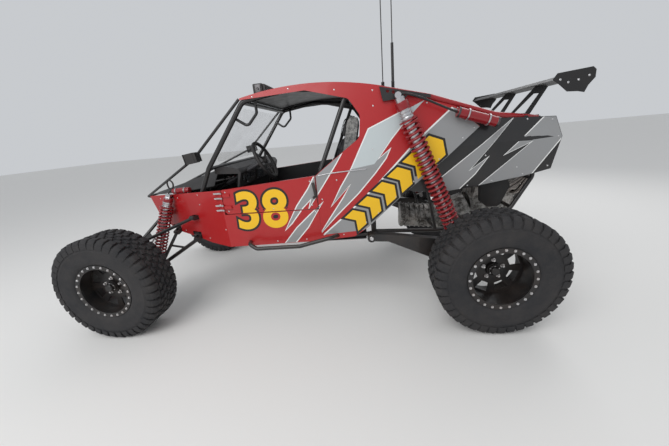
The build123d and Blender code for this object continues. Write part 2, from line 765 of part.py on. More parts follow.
def rack_housing():
    """Steering gear case hung under the nose."""
    case = rod((RACK_X, -170, RACK_Z), (RACK_X, 170, RACK_Z), 56)
    bore = rod((RACK_X, -300, RACK_Z), (RACK_X, 300, RACK_Z), 2 * (RACK_R + PIN_PLAY))
    tower = Pos(RACK_X - 15, 150, RACK_Z + 30) * Cylinder(24, 60)
    hangers = [rod((RACK_X, y, RACK_Z + 20), (2926, y, 899), 20) for y in (-110, 110)]
    return fuse([case, tower, *hangers]) - bore


def half_shaft():
    """Drive shaft with its two boots."""
    shaft = rod((0, 190, 560), (0, 655, TYRE_R), 32)
    inner = rod((0, 190, 560), (0, 262, 542), 100)
    outer = tilted(0, 630, TYRE_R + 6, (0, 1, -0.2), 46, 50)
    return shaft + inner + outer


def transaxle():
    """Gearbox ahead of the engine."""
    case = rod((560, 0, 640), (140, 0, 600), 230)
    bell = rod((60, 0, 590), (-90, 0, 640), 380)
    middle = rod((150, 0, 595), (50, 0, 592), 300)
    side = tilted(0, 0, 560, (0, 1, 0), 90, 400)
    return case + middle + bell + side


def engine():
    """V6 block with heads, pan and intake."""
    block = Pos(-280, 0, 790) * Box(380, 240, 240)
    pan = Pos(-280, 0, 640) * Box(330, 220, 70)
    pieces = [block, pan]
    for side_sign in (-1, 1):
        bank = Pos(-280, side_sign * 130, 930) * Rot(-side_sign * 30, 0, 0) * Box(370, 150, 220)
        pieces.append(bank)
    pieces.append(Pos(-280, 0, 1075) * Box(330, 240, 90))
    return fuse(pieces)


def exhaust():
    """Muffler across the tail."""
    can = rod((-515, -230, 1240), (-515, 230, 1240), 120)
    hangers = [rod((-515, y, 1240), (-440, y, 1480), 14) for y in (-150, 150)]
    return fuse([can, *hangers])


def radiator():
    """Radiator core with two fans, lying over the gearbox."""
    return Pos(500, 0, 1204) * Rot(0, -25, 0) * Box(420, 620, 60)


def side_bar():
    """Step tube below the door."""
    return bent([
        (1900, 640, 665), (1860, 770, 680), (1800, 785, 645), (1440, 785, 650), (1180, 770, 705),
        (1130, 640, 680)], 32, 40)


def rear_wing():
    """Small aerofoil with end plates."""
    chord = outline([(-345, 1690), (-380, 1712), (-470, 1718), (-585, 1700), (-585, 1694), (-470, 1702), (-380, 1690)])
    blade = Pos(0, -714, 0) * extrude(chord, amount=1428, dir=(0, 1, 0))
    plate = side_plate([
        (-345, 1695), (-370, 1730), (-576, 1749), (-596, 1731), (WING_TAIL_X, 1685), (-562, 1642),
        (-545, 1602), (-506, 1611), (-441, 1615), (-387, 1662)], 712, 717)
    return fuse([blade, *both(plate)])


def wing_support():
    """Laser-cut A-shaped plate under the wing."""
    plate = side_plate([(-285, 1480), (-455, 1480), (-583, 1697), (-490, 1706)], 246, 252)
    hole = side_plate([(-340, 1510), (-430, 1510), (-520, 1650), (-480, 1650)], 240, 260)
    return plate - hole


def roof_lamp():
    """Finned lamp bar on the roof's front edge."""
    body = Pos(1755, 0, 1905) * Box(70, 560, 80)
    feet = [Pos(1755, y, 1835) * Box(30, 20, 90) for y in (-200, 200)]
    return fuse([body, *feet])


def pillar_lamp():
    """Small lamp pod on the outer tube."""
    return Pos(2262, 655, 1395) * Rot(0, 8, 0) * Box(80, 80, 80)


def antenna(x, y, height, base):
    """Whip with its base."""
    z = 1788
    return rod((x, y, z), (x, y, height), 8) + rod((x, y, z), (x, y, z + base), 22)


def reservoir(a, b):
    """Gas bottle with two clamps."""
    a, b = Vector(*a), Vector(*b)
    pieces = [rod(a, b, 70)]
    for t in (0.25, 0.75):
        middle = a + (b - a) * t
        pieces.append(rod(middle - (b - a) * 0.03, middle + (b - a) * 0.03, 78))
        pieces.append(rod(middle, middle + Vector(0, -70, 0), 12))
    return fuse(pieces)


def antenna_mount():
    """Small shelf behind the roof."""
    return Pos(690, 300, 1784) * Box(190, 70, 8)


def tow_eyes():
    """Drilled plates at both ends of the frame."""
    front = side_plate([(2926, 880), (2990, 885), (3020, 905), (2990, 925), (2926, 918)], -8, 8)
    front = front - tilted(2990, 0, 905, (0, 1, 0), TOW_BORE_R, 40)
    rear = side_plate([(-463, 1020), (-520, 1020), (-545, 1000), (-520, 980), (-463, 980)], -8, 8)
    rear = rear - tilted(-520, 0, 1000, (0, 1, 0), TOW_BORE_R, 40)
    return [front, rear]


def controls():
    """Pedals on floor pivots and the gear lever with its gate."""
    gate = Pos(1480, 0, SILL_Z) * Box(150, 70, 60, align=(Align.CENTER, Align.CENTER, Align.MIN))
    made = [gate + rod((1480, 0, 690), (1450, 0, 960), 14) + Pos(1449, 0, 970) * Sphere(24)]
    for y in (300, 390, 480):
        arm = rod((2270, y, 640), (2235, y, 850), 14)
        made.append(arm + Pos(2230, y, 855) * Rot(0, 12, 0) * Box(10, 56, 74))
    return made


def put(name, pieces):
    """Write one sub-part, moved to the shared origin."""
    shape = Compound(children=[p for p in pieces]) if isinstance(pieces, list) else pieces
    export_step(Pos(-ORIGIN_X, 0, 0) * shape, f"parts/{name}.step")


nodes = {}
side = side_panel()
sail = sail_panel()
nodes["side_panel_left"], nodes["side_panel_right"] = side, flip(side)
nodes["sail_panel_left"], nodes["sail_panel_right"] = sail, flip(sail)
quarter = quarter_panel()
nodes["quarter_panel_left"], nodes["quarter_panel_right"] = quarter, flip(quarter)
leaf = door()
nodes["door_left"], nodes["door_right"] = leaf, flip(leaf)
nodes["roof_panel"] = roof_panel()
nodes["hood"] = hood()
nodes["belly_pan"] = belly_pan()
nodes["downtubes"] = both(downtube())
nodes["shock_gussets"] = both(gusset())
nodes["firewall"] = firewall()
nodes["seat_left"], nodes["seat_right"] = seat(), flip(seat())
nodes["dashboard"] = dashboard()
nodes["windscreen"] = windscreen()
nodes["steering_wheel"] = steering_wheel()
nodes["steering_column"] = steering_column()
nodes["upper_arms"] = both(upper_arm())
nodes["lower_arms"] = both(lower_arm())
nodes["front_shocks"] = both(shock(SHOCK_TOP, SHOCK_FOOT, 30, 12))
nodes["front_springs"] = both(spring(SHOCK_TOP, SHOCK_FOOT, 30, 14, 14))
nodes["trailing_arms"] = both(trailing_arm())
nodes["rear_shocks"] = both(shock(COIL_TOP, COIL_FOOT, 34, 14))
nodes["rear_springs"] = both(spring(COIL_TOP, COIL_FOOT, 34, 16, 22))
nodes["half_shafts"] = both(half_shaft())
nodes["transaxle"] = transaxle()
nodes["engine"] = engine()
nodes["muffler"] = exhaust()
nodes["radiator"] = radiator()
nodes["side_bars"] = both(side_bar())
nodes["rear_wing"] = rear_wing()
nodes["wing_supports"] = both(wing_support())
nodes["roof_lamp"] = roof_lamp()
nodes["pillar_lamps"] = both(pillar_lamp())
nodes["antennas"] = [antenna_mount() + antenna(707, 300, 2900, 60) + antenna(627, 300, 2760, 330)]
nodes["tow_eyes"] = tow_eyes()
nodes["controls"] = controls()
nodes["reservoirs"] = both(reservoir(Vector(220, 648, 1556), Vector(-60, 640, 1462)))
nodes["tie_rods"] = tie_rods()
nodes["rack_housing"] = rack_housing()
upright = knuckle()
nodes["knuckle_left"], nodes["knuckle_right"] = upright, flip(upright)
nodes["hinges"] = [*hinges(), *[flip(h) for h in hinges()]]
front_tyre, front_rim = at_wheel(tyre(), WHEELBASE), at_wheel(rim(FRONT_DISC_Y), WHEELBASE)
rear_tyre, rear_rim = at_wheel(tyre(), 0), at_wheel(rim(REAR_DISC_Y), 0)
nodes["tyre_front_left"], nodes["tyre_front_right"] = front_tyre, flip(front_tyre)
nodes["rim_front_left"], nodes["rim_front_right"] = front_rim, flip(front_rim)
nodes["tyre_rear_left"], nodes["tyre_rear_right"] = rear_tyre, flip(rear_tyre)
nodes["rim_rear_left"], nodes["rim_rear_right"] = rear_rim, flip(rear_rim)

tubes = [*floor_tubes(), *cage_tubes(), *nose_tubes(), *rear_tubes()]
nodes["tubes"] = tubes
nodes["fittings"] = fittings()
nodes["skin_studs"] = skin_studs()

# What gives way to what where two pieces meet. Columns: piece, its carriers
SEATS = [
    ("tubes", "transaxle engine radiator"),
    ("quarter_panel_left", "tubes"),
    ("fittings", "front_shocks hood"),
    ("side_panel_left", "fittings side_bars"),
    ("sail_panel_left", "side_bars downtubes shock_gussets reservoirs"),
    ("skin_studs", "side_panel_left sail_panel_left side_panel_right sail_panel_right"),
    ("belly_pan", "tubes fittings rack_housing steering_column"),
    ("hood", "steering_column"),
    ("downtubes", "tubes quarter_panel_left quarter_panel_right"),
    ("roof_panel", "tubes downtubes"),
    ("firewall", "tubes downtubes"),
    ("shock_gussets", "downtubes tubes rear_shocks"),
    ("dashboard", "tubes steering_column"),
    ("windscreen", "tubes dashboard"),
    ("seat_left", "belly_pan tubes"),
    ("controls", "belly_pan tubes"),
    ("rack_housing", "tubes"),
    ("steering_column", "rack_housing tubes"),
    ("lower_arms", "front_shocks fittings"),
    ("upper_arms", "fittings"),
    ("trailing_arms", "tubes rear_shocks"),
    ("half_shafts", "trailing_arms transaxle"),
    ("engine", "transaxle"),
    ("side_bars", "tubes"),
    ("wing_supports", "tubes rear_wing"),
    ("muffler", "tubes engine"),
    ("roof_lamp", "roof_panel"),
    ("pillar_lamps", "tubes"),
    ("antennas", "tubes roof_panel"),
    ("reservoirs", "downtubes quarter_panel_left quarter_panel_right"),
    ("tow_eyes", "tubes belly_pan"),
    ("hinges", "side_panel_left side_panel_right tubes skin_studs"),
]


def solids_in(pieces):
    """All solids of a piece or a list of pieces."""
    if isinstance(pieces, list):
        return [solid for piece in pieces for solid in piece.solids()]
    return list(pieces.solids())


def seat_on(pieces, carriers):
    """Pieces cut back to the faces of their carriers, without crumbs."""
    kept = []
    for solid in solids_in(pieces):
        box = solid.bounding_box()
        tools = [c for c in carriers if box.overlaps(c.bounding_box())]
        rest = solid.cut(*tools) if tools else solid
        kept += [part for part in rest.solids() if part.volume > CRUMB * solid.volume]
    return kept


for name, carriers in SEATS:
    tools = [solid for carrier in carriers.split() for solid in solids_in(nodes[carrier])]
    nodes[name] = seat_on(nodes[name], tools)
    if name.endswith("_left"):
        nodes[name.replace("_left", "_right")] = [flip(solid) for solid in nodes[name]]

frame = [solid for name in ("tubes", "fittings", "skin_studs") for solid in solids_in(nodes.pop(name))]
frame = frame[0].fuse(*frame[1:])
for name, *block in FRAME_SECTIONS:
    nodes[name] = frame_section(frame, *block)

for name, pieces in nodes.items():
    put(name, pieces)
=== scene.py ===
# %% [markdown]
# A two-seat sand buggy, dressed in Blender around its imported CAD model.
# The CAD nodes give every place and size. This file gives them their finishes, and adds
# what is too small or too soft for the solids: tread, coils, stickers, bolts, seat pads,
# straps and hoses.

# %% Load the frame
import json
from contextlib import contextmanager
from math import cos, exp, pi, radians, sin

import bpy
from mathutils import Matrix, Vector


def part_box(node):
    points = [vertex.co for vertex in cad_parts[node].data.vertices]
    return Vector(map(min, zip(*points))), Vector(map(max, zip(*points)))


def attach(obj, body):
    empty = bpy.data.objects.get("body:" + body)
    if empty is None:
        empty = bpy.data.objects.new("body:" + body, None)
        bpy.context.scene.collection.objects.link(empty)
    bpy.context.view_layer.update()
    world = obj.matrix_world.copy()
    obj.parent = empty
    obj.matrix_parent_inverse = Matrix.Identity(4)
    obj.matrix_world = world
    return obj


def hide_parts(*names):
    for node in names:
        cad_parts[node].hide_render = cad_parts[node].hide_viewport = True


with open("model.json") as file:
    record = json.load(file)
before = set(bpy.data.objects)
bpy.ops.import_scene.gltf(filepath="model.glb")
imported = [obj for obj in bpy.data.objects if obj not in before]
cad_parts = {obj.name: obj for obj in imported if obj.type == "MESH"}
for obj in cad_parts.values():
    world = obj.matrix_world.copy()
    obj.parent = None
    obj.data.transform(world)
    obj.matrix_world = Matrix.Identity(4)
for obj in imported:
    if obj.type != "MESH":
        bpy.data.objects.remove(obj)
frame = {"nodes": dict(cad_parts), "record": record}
nodes, record = frame["nodes"], frame["record"]
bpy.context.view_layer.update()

# %% [markdown]
# Sizes are in metres. Places on the car are counted in millimetres from the rear axle, as
# on a workshop drawing, and car() moves such a place to the frame, whose origin is on the
# floor below the middle of the overall length.

# %% Places on the car
MM = 0.001
rear_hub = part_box("rim_rear_left")
front_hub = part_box("rim_front_left")
REAR_AXLE_X = (rear_hub[0][0] + rear_hub[1][0]) / 2
FRONT_AXLE_X = (front_hub[0][0] + front_hub[1][0]) / 2
WHEELBASE = FRONT_AXLE_X - REAR_AXLE_X
TYRE_R = (rear_hub[0][2] + rear_hub[1][2]) / 2
WHEEL_Y = 0.916
SIDES = (("left", 1), ("right", -1))
SIGN = dict(SIDES)
WHEELS = (
    ("front", "left", "wheel_fl"), ("front", "right", "wheel_fr"),
    ("rear", "left", "wheel_rl"), ("rear", "right", "wheel_rr"),
)


def car(x, y, z):
    """Place given in millimetres from the rear axle, the middle plane and the floor."""
    return Vector((REAR_AXLE_X + x * MM, y * MM, z * MM))


print("wheelbase", round(WHEELBASE, 3), "hub height", round(TYRE_R, 3))

# %% [markdown]
# The photograph was taken standing close to the left side with a wide lens, tipped down
# and slightly rolled. The few numbers below came from fitting the four tyres' outlines.
# They place the camera, so that the render has the same perspective.

# %% Camera
CAMERA_PLACE = (892.2, 2882.7, 1491.3)
CAMERA_YAW, CAMERA_PITCH, CAMERA_ROLL = radians(6.873), radians(-17.39), radians(-5.225)
SENSOR_WIDTH = 36.0
FOCAL_SHARE = 286.83 / 669

forward = Vector((
    sin(CAMERA_YAW) * cos(CAMERA_PITCH), -cos(CAMERA_YAW) * cos(CAMERA_PITCH), sin(CAMERA_PITCH)))
level_right = Vector((-cos(CAMERA_YAW), -sin(CAMERA_YAW), 0))
level_up = level_right.cross(forward)
right = cos(CAMERA_ROLL) * level_right + sin(CAMERA_ROLL) * level_up
up = cos(CAMERA_ROLL) * level_up - sin(CAMERA_ROLL) * level_right
camera_data = bpy.data.cameras.new("photo_camera")
camera_data.sensor_fit = "HORIZONTAL"
camera_data.sensor_width = SENSOR_WIDTH
camera_data.lens = SENSOR_WIDTH * FOCAL_SHARE
camera = bpy.data.objects.new("photo_camera", camera_data)
camera.matrix_world = Matrix.Translation(car(*CAMERA_PLACE)) @ Matrix(
    (right, up, -forward)).transposed().to_4x4()
bpy.context.collection.objects.link(camera)
bpy.context.scene.camera = camera
print("camera lens", round(camera_data.lens, 2), "mm")

# %% [markdown]
# The car stands in a studio with a wide pale floor, a pale surround and two big soft
# lamps. Large lamps give soft shadows and long gentle highlights on paint.

# %% Floor and light
FLOOR_SIZE = 90
SURROUND_COLOR, SURROUND_STRENGTH = (0.93, 0.96, 1.0, 1), 0.62
AIM_PLACE = (1400, 0, 700)
STUDIO_LAMPS = (
    ("key_lamp", (3500, 5200, 5200), 5.0, 260),
    ("back_lamp", (-2500, -3500, 4800), 4.0, 90),
)
bpy.context.scene.view_settings.view_transform = "Standard"


def deselect_all():
    """Leave edit mode and deselect every object."""
    if bpy.context.mode != "OBJECT":
        bpy.ops.object.mode_set(mode="OBJECT")
    bpy.ops.object.select_all(action="DESELECT")


def pick(obj):
    """Make one object the selected and active one."""
    deselect_all()
    obj.select_set(True)
    bpy.context.view_layer.objects.active = obj


def aimed(place, direction, axis="Z", up="Y"):
    """Matrix that moves an object to a place and points one of its axes in a direction."""
    return Matrix.Translation(place) @ direction.to_track_quat(axis, up).to_matrix().to_4x4()


deselect_all()
bpy.ops.mesh.primitive_plane_add(size=FLOOR_SIZE, location=(0, 0, 0))
floor = bpy.context.object
floor.name = "studio_floor"

world = bpy.data.worlds.new("studio_surround")
bpy.context.scene.world = world
world.use_nodes = True
backdrop = world.node_tree.nodes["Background"].inputs
backdrop["Color"].default_value = SURROUND_COLOR
backdrop["Strength"].default_value = SURROUND_STRENGTH
for name, place, size, power in STUDIO_LAMPS:
    lamp = bpy.data.lights.new(name, "AREA")
    lamp.size = size
    lamp.energy = power
    holder = bpy.data.objects.new(name, lamp)
    place = car(*place)
    holder.matrix_world = aimed(place, car(*AIM_PLACE) - place, "-Z")
    bpy.context.collection.objects.link(holder)
print("lamps", len(STUDIO_LAMPS))

# %% [markdown]
# Shader nodes are written here as sums. A Wire wraps an output socket, and adding or
# multiplying wires adds Math nodes, so a mask reads like a formula. A Finish is one
# material, kept in finishes under its name, with helpers for the nodes that most share.

# %% Shader helpers


def feed(tree, socket, value):
    """Link a wire to a socket, or set a plain value on it."""
    if isinstance(value, Wire):
        tree.links.new(value.socket, socket)
    else:
        socket.default_value = value


class Wire:
    """An output socket that takes part in arithmetic."""

    def __init__(self, tree, socket):
        self.tree, self.socket = tree, socket

    def math(self, operation, *values):
        """Math node fed with these values."""
        node = self.tree.nodes.new("ShaderNodeMath")
        node.operation = operation
        for socket, value in zip(node.inputs, values):
            feed(self.tree, socket, value)
        return Wire(self.tree, node.outputs[0])

    def __add__(self, other):
        return self.math("ADD", self, other)

    __radd__ = __add__

    def __mul__(self, other):
        return self.math("MULTIPLY", self, other)

    def __sub__(self, other):
        return self.math("SUBTRACT", self, other)

    def __rsub__(self, other):
        return self.math("SUBTRACT", other, self)

    def __truediv__(self, other):
        return self.math("DIVIDE", self, other)

    def __lt__(self, other):
        return self.math("LESS_THAN", self, other)

    def clamp(self):
        """The value kept between 0 and 1."""
        return self.math("MINIMUM", self.math("MAXIMUM", self, 0.0), 1.0)

    def wave(self, count):
        """Sine of the value times count."""
        return self.math("SINE", self * count)


class Finish:
    """One material under construction."""

    def __init__(self, name, color, roughness, metallic=0.0, coat=0.0):
        self.material = bpy.data.materials.new(name)
        self.material.use_nodes = True
        self.tree = self.material.node_tree
        self.shader = self.tree.nodes["Principled BSDF"]
        self.put("Base Color", (*color, 1))
        self.put("Roughness", roughness)
        self.put("Metallic", metallic)
        self.put("Coat Weight", coat)
        self.put("Coat Roughness", 0.08)
        self.place = self.node("ShaderNodeTexCoord", output="Object")
        finishes[name] = self.material

    def put(self, socket, value):
        """Set or link one socket of the shader."""
        feed(self.tree, self.shader.inputs[socket], value)

    def node(self, kind, output=0, **sockets):
        """Any node with its sockets, whose names use _ for a space."""
        node = self.tree.nodes.new(kind)
        for key, value in sockets.items():
            feed(self.tree, node.inputs[key.replace("_", " ")], value)
        return Wire(self.tree, node.outputs[output])

    def axis(self, letter):
        """X, Y or Z of the place on the car."""
        return self.node("ShaderNodeSeparateXYZ", output=letter, Vector=self.place)

    def facing(self, letter):
        """X, Y or Z of the surface's own direction."""
        normal = self.node("ShaderNodeTexCoord", output="Normal")
        return self.node("ShaderNodeSeparateXYZ", output=letter, Vector=normal)

    def stretched(self, x, y, z):
        """Places squeezed along each axis, which draws a pattern out."""
        return self.node("ShaderNodeMapping", Vector=self.place, Scale=(x, y, z))

    def noise(self, scale, detail=3.0, roughness=0.55, along=None):
        """Cloudy pattern from 0 to 1."""
        place = self.place if along is None else self.stretched(*along)
        return self.node(
            "ShaderNodeTexNoise", Vector=place, Scale=scale, Detail=detail, Roughness=roughness)

    def cells(self, scale):
        """Distance pattern of scattered cells."""
        return self.node("ShaderNodeTexVoronoi", Vector=self.place, Scale=scale)

    def ramp(self, value, low, high):
        """Mask that rises from 0 at low to 1 at high."""
        return ((value - low) / (high - low)).clamp()

    def blend(self, factor, first, second):
        """Colour between two colours."""
        node = self.tree.nodes.new("ShaderNodeMix")
        node.data_type = "RGBA"
        feed(self.tree, node.inputs[0], factor)
        feed(self.tree, node.inputs[6], first)
        feed(self.tree, node.inputs[7], second)
        return Wire(self.tree, node.outputs[2])

    def bump(self, height, distance, strength):
        """Relief whose depth is the height times the distance, in metres."""
        node = self.node("ShaderNodeBump", Strength=strength, Distance=distance, Height=height)
        self.put("Normal", node)

    def dust(self, tone, amount):
        """Dry sand that lies thicker on the lower parts."""
        height = 1.0 - self.ramp(self.axis("Z"), DUST_LOW, DUST_HIGH)
        patches = self.ramp(self.noise(9.0, 5.0, 0.65), 0.38, 0.72)
        speckle = self.ramp(self.noise(160.0, 2.0), 0.4, 0.7)
        return self.blend((height + 0.25) * (patches * 0.75 + speckle * 0.25) * amount, tone, SAND)


SAND = (0.42, 0.25, 0.15, 1)
DUST_LOW, DUST_HIGH = 0.2, 1.4
finishes = {}
print("shader helpers ready")

# %% [markdown]
# The body is sheet metal in gloss red with a clear coat. Sun and sand dull it a little, so
# its gloss varies in soft patches, and dust clings low down. Its inner side is black, which
# the material reads from the direction that the surface faces.

# %% Painted finishes
INNER_BLACK = (0.012, 0.012, 0.013, 1)


def painted(name, color, roughness, coat, dusty, metallic=0.0, lined=False):
    """Paint with soft wear in its gloss, and dust."""
    paint = Finish(name, color, roughness, metallic, coat)
    tone = paint.dust((*color, 1), dusty)
    if lined:
        inward = (paint.axis("Y") * paint.facing("Y") < -0.02)
        below = (paint.facing("Z") < -0.6)
        mask = (inward + below).clamp()
        tone = paint.blend(mask, tone, INNER_BLACK)
        paint.put("Coat Weight", (1.0 - mask) * coat)
    paint.put("Base Color", tone)
    paint.put("Roughness", roughness + (paint.noise(14.0, 4.0) - 0.5) * 0.25)
    paint.bump(paint.noise(260.0, 2.0), 0.0004, 0.25)


painted("red_paint", (0.40, 0.006, 0.009), 0.40, 0.20, 0.05, lined=True)
painted("red_tube", (0.30, 0.006, 0.010), 0.38, 0.35, 0.05)
painted("tail_paint", (0.010, 0.010, 0.011), 0.34, 0.35, 0.04)
painted("frame_black", (0.009, 0.009, 0.010), 0.42, 0.25, 0.07)
painted("satin_black", (0.012, 0.012, 0.013), 0.50, 0.0, 0.05)
painted("wheel_black", (0.008, 0.008, 0.009), 0.46, 0.1, 0.05)
painted("dark_steel", (0.05, 0.05, 0.055), 0.42, 0.0, 0.10, metallic=0.6)
painted("spring_red", (0.24, 0.004, 0.009), 0.32, 0.35, 0.03)
painted("decal_white", (0.80, 0.80, 0.79), 0.42, 0.25, 0.04)
painted("decal_silver", (0.27, 0.275, 0.28), 0.45, 0.25, 0.10)
# The next finish is a lighter copy of the sticker silver: a painted highlight on the top of the front
# bolt, above the belt crease, where the light falls.
painted("decal_pale", (0.50, 0.55, 0.56), 0.42, 0.25, 0.06)
painted("decal_black", (0.006, 0.006, 0.007), 0.42, 0.1, 0.02)
painted("decal_yellow", (0.86, 0.50, 0.002), 0.42, 0.2, 0.03)
print("painted finishes", len(finishes))

# %% [markdown]
# Bare metals: machined steel shows fine turning lines, cast aluminium is grainy, and sheet
# aluminium is brushed along its length. Each has its own grain at its own scale.

# %% Bare metals
# Near-black tone of the dark patches on bare metal: oily dirt, and on the cast aluminium also painted
# shade.
DIRT_AND_SHADE_TONE = (0.035, 0.030, 0.026, 1)


def metal(name, color, roughness, grain, relief, along=None, dirt_and_shade=0.0):
    """Bare metal with a grain of so many per metre, and dark patches of oily dirt and painted shade
    where the last argument is given.
    """
    bare = Finish(name, color, roughness, 1.0)
    pattern = bare.noise(grain, 3.0, 0.6, along)
    dirt_and_shade_mask = bare.ramp(bare.noise(16.0, 6.0, 0.75), 0.42, 0.60) * dirt_and_shade
    bare.put("Base Color", bare.blend(dirt_and_shade_mask, bare.dust((*color, 1), 0.3), DIRT_AND_SHADE_TONE))
    bare.put("Roughness", roughness + (pattern - 0.5) * 0.3)
    bare.bump(pattern, relief, 0.5)


metal("machined_steel", (0.58, 0.58, 0.60), 0.30, 300, 0.0002, (1, 9, 1))
# The engine's cast aluminium is heavily patched dark: painted shade for the dark engine bay, along with
# oily dirt.
metal("cast_aluminium", (0.42, 0.415, 0.40), 0.50, 420, 0.0010, dirt_and_shade=0.9)
metal("sheet_aluminium", (0.50, 0.51, 0.52), 0.38, 60, 0.0002, (1, 30, 1))
metal("muffler_steel", (0.38, 0.35, 0.33), 0.38, 90, 0.0004, (1, 12, 1), dirt_and_shade=0.5)
metal("bolt_steel", (0.62, 0.62, 0.63), 0.28, 500, 0.0002)
metal("black_bolt", (0.10, 0.10, 0.105), 0.40, 500, 0.0002)

core = Finish("radiator_core", (0.30, 0.30, 0.31), 0.45, 0.9)
CORE_FINS, CORE_ROWS = 330, 90
core_fins = core.ramp(core.axis("Y").wave(2 * pi * CORE_FINS), -0.3, 0.6)
core_rows = core.ramp(core.axis("X").wave(2 * pi * CORE_ROWS), 0.55, 0.9)
core.put("Base Color", core.blend(core_fins, (0.03, 0.03, 0.03, 1), (0.34, 0.34, 0.35, 1)))
core.bump((core_fins + core_rows).clamp(), 0.0015, 0.8)
print("metal finishes ready")

# %% [markdown]
# Rubber, plastics, vinyl and glass. Rubber that runs in sand is dull and powdered in
# patches. The seats have a mottled grey cover, and the screen is clear with a dusty film.

# %% Soft and clear finishes
rubber = Finish("tyre_rubber", (0.022, 0.023, 0.026), 0.82)
powder = rubber.ramp(rubber.noise(7.0, 5.0, 0.7), 0.35, 0.75) * 0.07 + rubber.noise(90.0, 3.0) * 0.03
rubber.put("Base Color", rubber.blend(powder, (0.013, 0.014, 0.017, 1), (0.30, 0.25, 0.21, 1)))
rubber.bump(rubber.noise(300.0, 4.0, 0.7), 0.0012, 0.5)

for name, color, roughness, grain, relief in (
    ("dash_black", (0.020, 0.020, 0.022), 0.55, 480, 0.0006),
    ("lamp_black", (0.016, 0.016, 0.017), 0.45, 300, 0.0004),
    ("antenna_black", (0.014, 0.014, 0.015), 0.40, 200, 0.0003),
    ("hose_black", (0.012, 0.012, 0.013), 0.50, 900, 0.0006),
    ("grip_black", (0.016, 0.016, 0.017), 0.62, 420, 0.0010),
):
    plastic = Finish(name, color, roughness)
    skin = plastic.cells(grain)
    plastic.put("Base Color", plastic.dust((*color, 1), 0.12))
    plastic.put("Roughness", roughness + (plastic.noise(25.0) - 0.5) * 0.2)
    plastic.bump(skin, relief, 0.6)

vinyl = Finish("seat_vinyl", (0.30, 0.30, 0.29), 0.62)
mottle = vinyl.ramp(vinyl.noise(38.0, 6.0, 0.75), 0.40, 0.62)
vinyl.put("Base Color", vinyl.blend(mottle, (0.12, 0.12, 0.12, 1), (0.44, 0.43, 0.41, 1)))
vinyl.bump(vinyl.cells(520.0), 0.0008, 0.5)

side_vinyl = Finish("seat_side", (0.022, 0.022, 0.024), 0.55)
side_vinyl.put("Roughness", 0.5 + side_vinyl.noise(30.0) * 0.15)
side_vinyl.bump(side_vinyl.cells(520.0), 0.0008, 0.5)

glass = Finish("screen_glass", (0.75, 0.76, 0.76), 0.06)
film = glass.ramp(glass.noise(5.0, 5.0, 0.7), 0.3, 0.8) * 0.10
glass.put("Alpha", film + 0.07)
glass.put("Roughness", film + 0.05)

gauge = Finish("gauge_face", (0.05, 0.06, 0.07), 0.12, 0.0, 0.5)
ticks = gauge.ramp(gauge.axis("Y").wave(2 * pi * 140), 0.90, 0.98)
gauge.put("Base Color", gauge.blend(ticks, (0.03, 0.035, 0.04, 1), (0.45, 0.46, 0.47, 1)))

lens = Finish("lamp_lens", (0.70, 0.72, 0.74), 0.08, 0.6, 0.6)
lens.put("Base Color", lens.blend(lens.noise(60.0), (0.55, 0.58, 0.60, 1), (0.82, 0.83, 0.84, 1)))
lens.bump(lens.axis("Y").wave(2 * pi * 160), 0.0006, 0.6)

webbing = Finish("harness_webbing", (0.016, 0.016, 0.017), 0.75)
weave = webbing.axis("Z").wave(2 * pi * 420) * webbing.axis("Y").wave(2 * pi * 300)
fade = webbing.noise(40.0)
webbing.put("Base Color", webbing.blend(fade, (0.012, 0.012, 0.013, 1), (0.03, 0.03, 0.03, 1)))
webbing.bump(weave, 0.0008, 0.6)

stone = Finish("floor_pale", (0.78, 0.77, 0.75), 0.85)
stone.put("Roughness", 0.82 + stone.noise(3.0) * 0.06)
floor.data.materials.append(stone.material)
print("all finishes", len(finishes))

# %% [markdown]
# Each CAD node takes the finish that its record names, and the red downtubes a darker red
# of their own. The mesh itself is never touched.

# %% Dress the CAD nodes
slots = {row["node"]: row["material_slot"] for row in record["subparts"]}


def dress(obj, finish):
    """Give an object one finish."""
    obj.data.materials.clear()
    obj.data.materials.append(finishes[finish])


for name, obj in nodes.items():
    dress(obj, slots[name])
dress(nodes["downtubes"], "red_tube")
print("dressed", len(nodes), "nodes")

# %% [markdown]
# Every added piece ends the same way: its place goes into its mesh, it gets a finish, and
# it rides on the body that carries it. The editing helpers switch to edit mode for the few
# lines of their block and back again, so that no later step starts in the wrong mode.

# %% Piece helpers
BEVEL_ANGLE = radians(35)


@contextmanager
def editing(obj):
    """Edit mode with the whole mesh selected, and object mode again at the end."""
    pick(obj)
    bpy.ops.object.mode_set(mode="EDIT")
    bpy.ops.mesh.select_all(action="SELECT")
    yield
    bpy.ops.object.mode_set(mode="OBJECT")


@contextmanager
def editing_where(obj, test, kind="faces"):
    """Edit mode with only the faces or vertices selected that pass a test."""
    with editing(obj):
        bpy.ops.mesh.select_all(action="DESELECT")
    for element in obj.data.polygons if kind == "faces" else obj.data.vertices:
        middle = element.center if kind == "faces" else element.co
        element.select = bool(test(middle, element.normal))
    bpy.ops.object.mode_set(mode="EDIT")
    bpy.ops.mesh.select_mode(type="FACE" if kind == "faces" else "VERT")
    yield
    bpy.ops.object.mode_set(mode="OBJECT")


def apply_place(obj):
    """Move an object's place, turn and size into its mesh."""
    pick(obj)
    bpy.ops.object.transform_apply(location=True, rotation=True, scale=True)


def modify(obj, kind, **settings):
    """Add a modifier with these settings and apply it."""
    pick(obj)
    modifier = obj.modifiers.new(kind.lower(), kind)
    for key, value in settings.items():
        setattr(modifier, key, value)
    bpy.ops.object.modifier_apply(modifier=modifier.name)


def join(objects):
    """One object out of several."""
    deselect_all()
    for obj in objects:
        obj.select_set(True)
    bpy.context.view_layer.objects.active = objects[0]
    bpy.ops.object.join()
    return bpy.context.object


